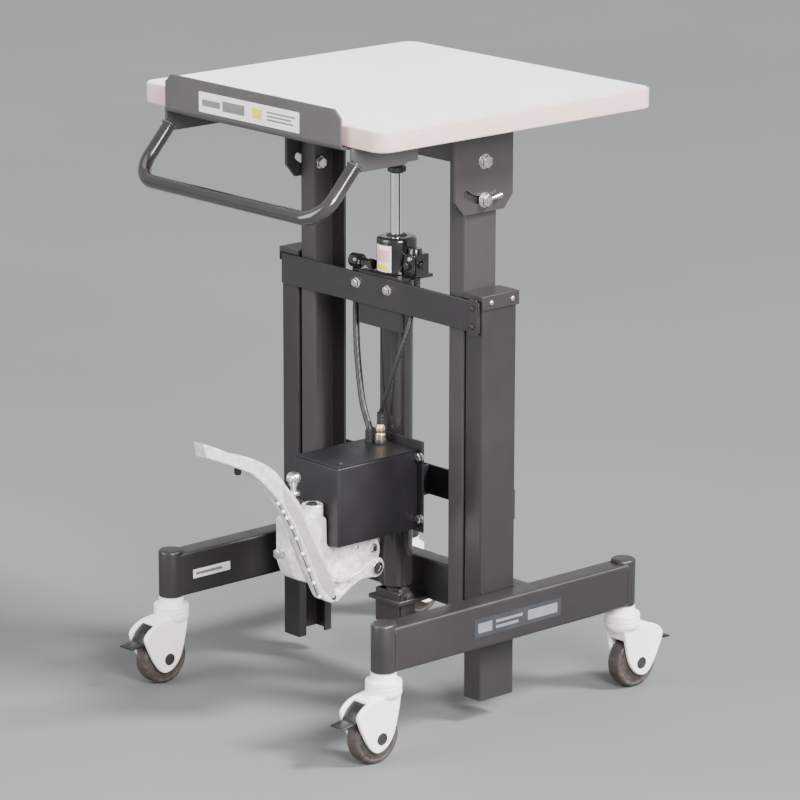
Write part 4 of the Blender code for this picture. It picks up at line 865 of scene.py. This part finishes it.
def build_hoses(sizes):
    """Both hoses with crimped ferrules, and the brass elbow's body on the tank."""
    low, high = box("brass_fitting")
    x, y = (low[0] + high[0]) / 2, (low[1] + high[1]) / 2
    z = low[2]
    base = mm([(0.1, 0), (8.9, 0), (8.9, 4.6), (8.2, 5.6), (0.1, 5.6)]) + (0, z)
    stem = mm([(0.1, 5.2), (7.6, 5.2), (7.6, 12.4), (6.6, 13.2), (6.2, 15), (6.8, 16), (6.8, 23),
               (5.6, 25), (4.6, 27), (0.1, 27)]) + (0, z)
    piece("brass_union", [turned(stem, (x, y, 0), "Z", 60, lambda u: 0.5 + 0.5 * hexagon(u))],
          "brass", "frame", ("brass_fitting",))
    piece("union_collar", [turned(base, (x, y, 0), "Z", 48)], "black", "frame")
    tank_top = box("tank")[1][2]
    fit_low, fit_high = box("head_fitting")
    knob_x = fit_low[0] + 9 * MM
    knob_y = (fit_low[1] + fit_high[1]) / 2
    block_low = box("head_valve_block")[0]
    port_x, port_y = block_low[0] + 20.2 * MM, AXIS_Y - 6 * MM
    routes = {
        "hose_right": (3.5, [(port_x, port_y, block_low[2] - 0.3 * MM), (port_x, port_y, 590 * MM),
                             (port_x + 7.5 * MM, AXIS_Y - 19 * MM, 562 * MM),
                             (port_x + 8.5 * MM, AXIS_Y - 31 * MM, 530 * MM),
                             (port_x + 1 * MM, AXIS_Y - 42 * MM, 490 * MM),
                             (33 * MM, AXIS_Y - 47 * MM, 440 * MM), (x, y, high[2] + 14 * MM),
                             (x, y, high[2] + 0.3 * MM)]),
        "hose_left": (4.7, [(knob_x, knob_y, fit_low[2] - 0.3 * MM), (knob_x, knob_y, 575 * MM),
                            (knob_x + 3 * MM, AXIS_Y - 22 * MM, 530 * MM),
                            (-45 * MM, AXIS_Y - 33 * MM, 480 * MM),
                            (-20 * MM, AXIS_Y - 46 * MM, 420 * MM),
                            (2 * MM, AXIS_Y - 52 * MM, tank_top + 20 * MM),
                            (2 * MM, AXIS_Y - 52 * MM, tank_top + 0.3 * MM)]),
    }
    for name, (radius, points) in routes.items():
        points = np.array(points, float)
        curve = np.concatenate([points[:1], spline(points[1:-1], 110), points[-1:]])
        piece(f"{name}_cover", [tube(curve, radius * MM, (1, 0.3, 0), 24)], "hose", "frame",
              (name,))
        crimps = []
        for end, inward in ((points[0], -1), (points[-1], 1)):
            run = line(end, end + (0, 0, inward * 17 * MM), 30)
            s = np.linspace(0, 1, 30)
            pressed = (np.cos(s * TAU * 4) > 0.2) * (s > 0.15) * (s < 0.85)
            swell = radius * MM + 1.5 * MM - 0.5 * MM * pressed
            swell[-1] = radius * MM + 0.3 * MM
            crimps.append(tube(run, swell, (1, 0, 0), 28))
        piece(f"{name}_ferrules", crimps, "black", "frame")


def build_pump(sizes):
    """The cast pump: ram barrel, valve column, tapered block and the arm that carries the pedal."""
    low, high = box("pump_body")
    x0, x1 = low[0], high[0]
    mid_x = (x0 + x1) / 2
    front = low[1]
    ram_y = float(box("plunger")[0][1] + box("plunger")[1][1]) / 2
    top = high[2]
    barrel_r = 15 * MM
    block = filleted([(front, 300 * MM), (front + 34 * MM, 300 * MM), (ram_y + 14 * MM, 292 * MM),
                      (ram_y + 15 * MM, 248 * MM), (AXIS_Y - 84 * MM, 248 * MM),
                      (AXIS_Y - 77 * MM, 226 * MM), (AXIS_Y - 84 * MM, 203 * MM),
                      (AXIS_Y - 100 * MM, 190 * MM), (front + 44 * MM, 199 * MM),
                      (front + 10 * MM, 214 * MM), (front, 238 * MM)], 7 * MM, steps=6)
    parts = [plate(block, x0, x1, "X", 3.2 * MM, 5)]
    barrel = [(POLE, 240 * MM), (barrel_r - 2 * MM, 240 * MM), (barrel_r, 243 * MM),
              (barrel_r, top - 1.5 * MM), (barrel_r - 1.2 * MM, top), (11 * MM, top),
              (10.2 * MM, top - 1 * MM), (10.2 * MM, top - 8 * MM), (POLE, top - 8 * MM)]
    parts.append(turned(barrel, (mid_x, ram_y, 0), "Z", 64))
    column = mm([(0.1, 242), (11, 242), (12.5, 246), (12, 296), (11, 300), (0.1, 300)])
    parts.append(turned(column, (mid_x, ram_y - 33 * MM, 0), "Z", 56))
    boss = [(POLE, x0 + 0.6 * MM), (13 * MM, x0 + 0.6 * MM), (14 * MM, x0 + 2 * MM),
            (14 * MM, x1 - 1.6 * MM), (13 * MM, x1 + 0.1 * MM), (POLE, x1 + 0.1 * MM)]
    parts.append(turned(boss, PEDAL_PIVOT, "X", 56))
    piece("pump_casting", parts, "cast", "frame", ("pump_body",))
    small = bolt((mid_x - 2 * MM, front, 250 * MM), "Y", 13 * MM, 10 * MM, -1)
    small += screw((x1, AXIS_Y - 122 * MM, 237 * MM), "X", 3.4 * MM, 2.2 * MM, 1)
    small += bolt((x1, AXIS_Y - 92 * MM, 231 * MM), "X", 10 * MM, 4 * MM, 1, 6.6 * MM)
    piece("pump_plugs", small, "zinc", "frame")
    low, high = box("pedal_pin")
    pin = [(POLE, low[0]), (8 * MM, low[0]), (9.4 * MM, low[0] + 1 * MM),
           (9.4 * MM, low[0] + 6 * MM), (5.9 * MM, low[0] + 6.2 * MM),
           (5.9 * MM, high[0] - 4.2 * MM), (9.4 * MM, high[0] - 4 * MM),
           (9.4 * MM, high[0] - 1 * MM), (8.4 * MM, high[0]), (4 * MM, high[0]),
           (3.6 * MM, high[0] - 0.8 * MM), (POLE, high[0] - 0.8 * MM)]
    piece("pedal_pivot_pin", [turned(pin, PEDAL_PIVOT, "X", 48)], "zinc", "frame",
          ("pedal_pin",))
    low, high = box("plunger")
    z1 = high[2]
    ram = [(POLE, low[2]), (9.6 * MM, low[2]), (9.6 * MM, z1 - 7 * MM), (8.8 * MM, z1 - 6 * MM),
           (7 * MM, z1 - 5.6 * MM), (6.6 * MM, z1 - 0.8 * MM), (5.6 * MM, z1), (POLE, z1)]
    piece("pump_ram", [turned(ram, (mid_x, ram_y, 0), "Z", 48)], "black", "plunger",
          ("plunger",))
    low, high = box("release_knob")
    cx, cy, z = (low[0] + high[0]) / 2, (low[1] + high[1]) / 2, low[2]
    stem = [(0.1, 0), (7, 0), (7, 10), (5, 10.4), (5, 16), (7.4, 16.2), (7.4, 22), (4.4, 22.4),
            (4.4, 29), (9, 29.4), (9.6, 30.2), (9.6, 32.6), (9, 33.4), (4.6, 33.6), (4.6, 42),
            (6.6, 42.2), (6.6, 47.8), (0.1, 48)]
    knob = [(0.1, 47.8), (9.4, 48), (10, 48.8), (10, 54), (9, 57), (6.4, 59.4), (3, 60), (0.1, 60)]
    piece("release_stem", [turned(mm(stem) + (0, z), (cx, cy, 0), "Z", 48),
                           turned(mm(knob) + (0, z), (cx, cy, 0), "Z", 72,
                                  knurl(18, 0.07))],
          "zinc", "release_valve", ("release_knob",))


def build_pedal(sizes):
    """The foot pedal: its side view is two smooth edges joined across, its flanks are eased, two
    ribs and a thinner web run back to the boss, and beads stand in a row down the shank's front."""
    low, high = box("pedal")
    x0, x1 = low[0], high[0]
    shift = (AXIS_Y, 0.0)
    upper = mm([(-410, 442), (-383, 430), (-356, 417), (-330, 408), (-302, 393), (-283, 378),
                (-264, 354),
                      (-243, 328), (-229, 302), (-208, 262), (-190, 226), (-183, 208), (-179, 193)])
    lower = mm([(-407, 422), (-375, 408), (-343, 393), (-325, 383), (-300, 360), (-278, 335),
                (-262, 310),
                      (-246, 280), (-226, 235), (-206, 190), (-194, 179), (-184, 176), (-177, 180)])
    top_run, low_run = spline(upper, 90), spline(lower, 90)
    upper_rib = mm([(-189, 216), (-173, 207), (-148, 207), (-148, 201), (-170, 201), (-186, 206)])
    lower_rib = mm([(-190, 181), (-177, 175.5), (-150, 192), (-150, 198), (-172, 185), (-186, 188)])
    root = mm([(-152, 207), (-138, 211), (-122, 219), (-108, 225), (-104, 197), (-132, 199),
                     (-152, 191)])
    web = mm([(-184, 184), (-174, 180), (-148, 195), (-148, 205), (-178, 206)])
    parts = [plate(np.concatenate([low_run, top_run[::-1]]) + shift, x0, x1, "X", 2.4 * MM, 4),
             plate(filleted(upper_rib, 2 * MM, steps=3) + shift, x0, x1, "X", 1.2 * MM, 3),
             plate(filleted(lower_rib, 2 * MM, steps=3) + shift, x0, x1, "X", 1.2 * MM, 3),
             plate(filleted(root, 3 * MM, steps=4) + shift, x0, x1, "X", 1.6 * MM, 3),
             plate(web + shift, x0 + 6 * MM, x1 - 8 * MM, "X", 0.5 * MM, 1)]
    parts.append(turned([(POLE, x0 + 0.2 * MM), (13 * MM, x0 + 0.2 * MM), (14 * MM, x0 + 1.4 * MM),
                         (14 * MM, x1 - 0.4 * MM), (13.2 * MM, x1 + 0.1 * MM),
                         (POLE, x1 + 0.1 * MM)],
                        PEDAL_PIVOT, "X", 56))
    piece("foot_pedal", parts, "cast", "pedal", ("pedal",))
    beads = []
    for k in (np.linspace(0.42, 0.76, 9) * (len(low_run) - 1)).astype(int):
        y, z = low_run[k] + shift
        t = np.linspace(0, math.pi, 9)
        dome = np.stack([0.1 * MM + 2.6 * MM * np.sin(t), x1 - 3.6 * MM - 2.6 * MM * np.cos(t)], -1)
        beads.append(turned(dome, (0, y - 1.0 * MM, z - 0.5 * MM), "X", 16))
    # The beads take the white laminate finish, brighter than the cast metal round them: their
    # colour is a painted highlight along the shank's edge.
    piece("pedal_beads_painted_glint", beads, "laminate", "pedal")
    # A thin dark strip tucked under the shank's lower edge: painted shade in the groove there.
    groove = low_run[36:74] + (-0.3 * MM, -0.15 * MM) + shift
    strip = np.concatenate([groove, (groove + (1.2 * MM, 0.5 * MM))[::-1]])
    piece("pedal_groove_painted_shade", [plate(strip, x1 - 9.5 * MM, x1 - 6.8 * MM, "X", 0.3 * MM, 1)],
          "axle_cap", "pedal")
    flank_top, flank_low = top_run[40:84], low_run[40:84]
    flank = np.concatenate([flank_low * 0.8 + flank_top * 0.2,
                            (flank_top * 0.8 + flank_low * 0.2)[::-1]])
    piece("pedal_ground_flank", [plate(flank + shift, x1 - 0.2 * MM, x1 + 0.25 * MM, "X", 0.12 * MM,
                                       1)],
          "ground", "pedal")
    nub = mm([(0.1, 0), (5, 0), (5, -6), (4, -8.5), (0.1, -9)])
    piece("pedal_stop", [turned(nub, ((x0 + x1) / 2, AXIS_Y - 343 * MM, 394 * MM), "Z", 28)],
          "brake", "pedal")


# ---------------------------------------------------------------- casters

def caster_parts():
    """A caster's skins at the origin, wheel trailing to -Y: housing, tread, brake and axle caps."""
    ring = [(0.1, 88), (21, 88), (23, 91), (24.6, 93), (25, 95), (25, 98.6), (23.7, 99.4),
            (23.7, 100), (25, 100.8), (25, 105), (23.7, 105.8), (23.7, 106.4), (25, 107.2),
            (25, 111), (24, 112.6), (22, 113), (18, 113.2), (17.6, 114), (17.6, 123.4),
            (0.1, 123.4)]
    housing = [turned(mm(ring), (0, 0, 0), "Z", 72)]
    cheek = spline(mm([(14.5, 95), (12.5, 80), (9, 64), (5.5, 50), (1, 38), (-6, 28), (-16, 20.5),
                       (-27, 18.5),
                             (-36, 23), (-44, 33), (-52, 47), (-59, 62), (-62.5, 74), (-58, 82),
                             (-48, 89), (-36, 93), (-20, 95.5)]), 90)
    for side in (-1, 1):
        inner, outer = side * 14 * MM, side * 20 * MM
        housing.append(plate(cheek, min(inner, outer), max(inner, outer), "X", 1.8 * MM, 4))
    hood_out = mm([(-24, 96.5), (-36, 93.3), (-42, 91)])
    hood_in = mm([(-41, 86), (-30, 86.5), (-10, 84), (6, 74), (11, 74)])
    hood = np.concatenate([mm([(14.5, 94)]), hood_out, hood_in])
    housing.append(plate(filleted(hood, 2 * MM), -14.5 * MM, 14.5 * MM, "X", 0.4 * MM, 1))
    housing.append(turned(mm([(0.1, -14), (5, -14), (5, 14), (0.1, 14)]),
                          CASTER_AXLE, "X", 24))
    t = np.linspace(0, math.pi / 2, 7)
    half, r, e = WHEEL_HALF, WHEEL_R, WHEEL_EASE
    shoulder = [(r - e + e * math.sin(a), half - e + e * math.cos(a)) for a in t]
    tread = ([(5.4, -half), (28, -half), (30, -half + 0.9), (32, -half)]
             + [(p, -h) for p, h in shoulder] + shoulder[::-1] + [(32, half), (30, half - 0.9),
                                                                  (28, half), (5.4, half)])
    wheel = [turned(mm(tread), CASTER_AXLE, "X", 80, loop=True)]
    strap = mm([(-40, 89.5), (-46, 86.5), (-54, 80), (-60, 71), (-63, 66.5), (-84, 63.5),
                (-84, 61.2),
                      (-62, 62.4), (-56, 66), (-50, 73), (-42, 79)])
    pedal = [plate(filleted(strap, 2.6 * MM, steps=4), -13 * MM, 13 * MM, "X", 1.0 * MM, 3)]
    caps = []
    for side in (-1, 1):
        dish = [(0.1, 19.4), (8.6, 19.4), (8.6, 20.7), (8.0, 21.3), (6.5, 21.3), (6.0, 20.6),
                (0.1, 20.6)]
        caps.append(turned(mm(dish) * (1, side), CASTER_AXLE, "X", 40))
    return housing, wheel, pedal, caps


def build_casters(sizes):
    """Four copies of the caster's skins, the rear pair turned half round, under their sockets."""
    housing, wheel, pedal, caps = caster_parts()
    for end, turn in (("front", 0.0), ("rear", math.pi)):
        for hand in ("left", "right"):
            tag = f"{end}_{hand}"
            low, high = box(f"caster_yoke_{tag}")
            y = high[1] - CASTER_OFFSET if end == "front" else low[1] + CASTER_OFFSET
            spot = Matrix.Translation(((low[0] + high[0]) / 2, y, 0)) @ Matrix.Rotation(turn, 4,
                                                                                        "Z")
            for name, parts, key, body, slot, node in (
                    ("housing", housing, "housing", f"fork_{tag}", "caster_nylon",
                     f"caster_yoke_{tag}"),
                    ("tread", wheel, "tyre", f"wheel_{tag}", "tyre_grey", f"caster_wheel_{tag}"),
                    ("brake_pedal", pedal, "brake", f"brake_{tag}", "black_plastic",
                     f"caster_brake_{tag}"),
                    ("axle_caps", caps, "axle_cap", f"fork_{tag}", "black_plastic", None)):
                piece(f"{name}_{tag}", [moved(part, spot) for part in parts], key, body,
                      (node,) if node else ())


# ---------------------------------------------------------------- stage

CAMERA_LENS = 188.357            # millimetres, on a 36 mm sensor
CAMERA_SPOT = (4.2123, -3.7662 + AXIS_Y, 1.9008)
CAMERA_AIM = (-0.72042, 0.64526, -0.25423)
WINDOW_SPOT, WINDOW_DEG = (2.7, 1.7, 3.3), 13


def build_stage(sizes):
    """A grey paper floor; three soft boxes, to the right, overhead and in front; a wide window
    light from the far right as a sun; even room light; and the camera."""
    size = 30.0
    mesh = bpy.data.meshes.new("studio_floor")
    mesh.from_pydata([(-size, -size, 0), (size, -size, 0), (size, size, 0), (-size, size, 0)], [],
                     [(0, 1, 2, 3)])
    mesh.materials.append(floor_paper())
    floor = bpy.data.objects.new("studio_floor", mesh)
    bpy.context.scene.collection.objects.link(floor)
    target = Vector((0, AXIS_Y, 0.45))
    for name, spot, width, power, tint in (
            ("side_softbox", (2.9, -1.0, 1.9), 1.3, sizes.key_power, (1.0, 0.985, 0.97)),
            ("top_softbox", (-0.2, -0.4, 4.2), 2.6, sizes.top_power, (1.0, 1.0, 1.0)),
            ("front_fill", (-1.6, -4.4, 2.2), 3.2, sizes.fill_power, (0.97, 0.985, 1.0))):
        lamp = bpy.data.lights.new(name, "AREA")
        lamp.size = width
        lamp.energy = power
        lamp.color = tint
        holder = bpy.data.objects.new(name, lamp)
        holder.location = spot
        holder.rotation_euler = (target - Vector(spot)).to_track_quat("-Z", "Y").to_euler()
        bpy.context.scene.collection.objects.link(holder)
    sun = bpy.data.lights.new("window_light", "SUN")
    sun.energy = sizes.window_power
    sun.angle = math.radians(WINDOW_DEG)
    holder = bpy.data.objects.new("window_light", sun)
    holder.rotation_euler = (-Vector(WINDOW_SPOT)).to_track_quat("-Z", "Y").to_euler()
    bpy.context.scene.collection.objects.link(holder)
    world = bpy.data.worlds.new("studio_air")
    world.use_nodes = True
    air = world.node_tree.nodes["Background"]
    air.inputs["Color"].default_value = linear("#C8C9CA")
    air.inputs["Strength"].default_value = sizes.air_strength
    bpy.context.scene.world = world
    camera = bpy.data.cameras.new("studio_camera")
    camera.lens = CAMERA_LENS
    camera.sensor_width = 36.0
    camera.clip_end = 100.0
    forward = Vector(CAMERA_AIM)
    holder = bpy.data.objects.new("studio_camera", camera)
    roll = Matrix.Rotation(math.radians(sizes.camera_roll), 4, "Z")
    turn = forward.to_track_quat("-Z", "Y").to_matrix().to_4x4() @ roll
    holder.matrix_world = Matrix.Translation(CAMERA_SPOT) @ turn
    bpy.context.scene.collection.objects.link(holder)
    bpy.context.scene.camera = holder


# ---------------------------------------------------------------- add-on

class LiftTableSizes(bpy.types.PropertyGroup):
    """Sizes, colours and light levels that can be changed before building."""
    corner_radius: bpy.props.FloatProperty(name="Corner radius",
                                           description="Plan radius of the top's corners",
                                           default=22 * MM, unit="LENGTH")
    edge_round: bpy.props.FloatProperty(name="Edge round",
                                        description="Rounding over the edge band", default=2.6 * MM,
                                        unit="LENGTH")
    handle_radius: bpy.props.FloatProperty(name="Handle tube radius",
                                           description="Half the push handle's diameter",
                                           default=9.5 * MM, unit="LENGTH")
    frame_colour: bpy.props.StringProperty(name="Frame enamel",
                                           description="sRGB hex of the frame's enamel",
                                           default="#2B282A")
    caster_colour: bpy.props.StringProperty(name="Caster nylon",
                                            description="sRGB hex of the caster housings",
                                            default="#FAF4F6")
    window_power: bpy.props.FloatProperty(name="Window light",
                                          description="Strength of the soft far light", default=7.5)
    key_power: bpy.props.FloatProperty(name="Side light", description="Power of the side softbox",
                                       default=230.0)
    top_power: bpy.props.FloatProperty(name="Top light",
                                       description="Power of the overhead softbox", default=40.0)
    fill_power: bpy.props.FloatProperty(name="Fill light", description="Power of the front fill",
                                        default=230.0)
    air_strength: bpy.props.FloatProperty(name="Room light",
                                          description="Strength of the even room light",
                                          default=1.15)
    camera_roll: bpy.props.FloatProperty(name="Camera roll",
                                         description="Roll of the camera in degrees", default=0.112)


def operator(label_text, idname, doc, build):
    """An operator class that runs one builder with the scene's sizes."""
    def execute(self, context):
        if not FINISHES:
            make_finishes(context.scene.lift_table_sizes)
        build(context.scene.lift_table_sizes)
        return {"FINISHED"}
    return type(f"LIFTTABLE_OT_{idname}", (bpy.types.Operator,), {
        "bl_idname": f"lifttable.{idname}", "bl_label": label_text, "__doc__": doc,
        "execute": execute})


OPERATORS = [
    operator("Stage and camera", "stage", "Builds the floor, the lights and the camera",
             build_stage),
    operator("Laminate top", "top", "Builds the board and its edge band", build_top),
    operator("Handle and brackets", "handle", "Builds the push handle, its plate and the brackets",
             build_handle),
    operator("Posts and bars", "posts", "Builds the posts, bars, caps and bolts", build_posts),
    operator("Legs", "legs", "Builds the legs, sockets and welds", build_legs),
    operator("Ram", "ram", "Builds the cylinder, head, rod and saddle", build_ram),
    operator("Tank", "tank", "Builds the oil tank and its bracket", build_tank),
    operator("Hoses", "hoses", "Builds the hoses and unions", build_hoses),
    operator("Pump", "pump", "Builds the cast pump and its release valve", build_pump),
    operator("Pedal", "pedal", "Builds the foot pedal", build_pedal),
    operator("Casters", "casters", "Builds the casters", build_casters),
]


class LIFTTABLE_PT_panel(bpy.types.Panel):
    """Lists the sizes and the builders."""
    bl_label = "Lift Table"
    bl_space_type = "VIEW_3D"
    bl_region_type = "UI"
    bl_category = "Lift Table"

    def draw(self, context):
        sizes = context.scene.lift_table_sizes
        for name in LiftTableSizes.__annotations__:
            self.layout.prop(sizes, name)
        for made in OPERATORS:
            self.layout.operator(made.bl_idname)


CLASSES = [LiftTableSizes, *OPERATORS, LIFTTABLE_PT_panel]


def register():
    for made in CLASSES:
        bpy.utils.register_class(made)
    bpy.types.Scene.lift_table_sizes = bpy.props.PointerProperty(type=LiftTableSizes)


def unregister():
    del bpy.types.Scene.lift_table_sizes
    for made in reversed(CLASSES):
        bpy.utils.unregister_class(made)


def main():
    register()
    for made in OPERATORS:
        getattr(bpy.ops.lifttable, made.bl_idname.split(".")[1])()


if __name__ == "__main__":
    main()
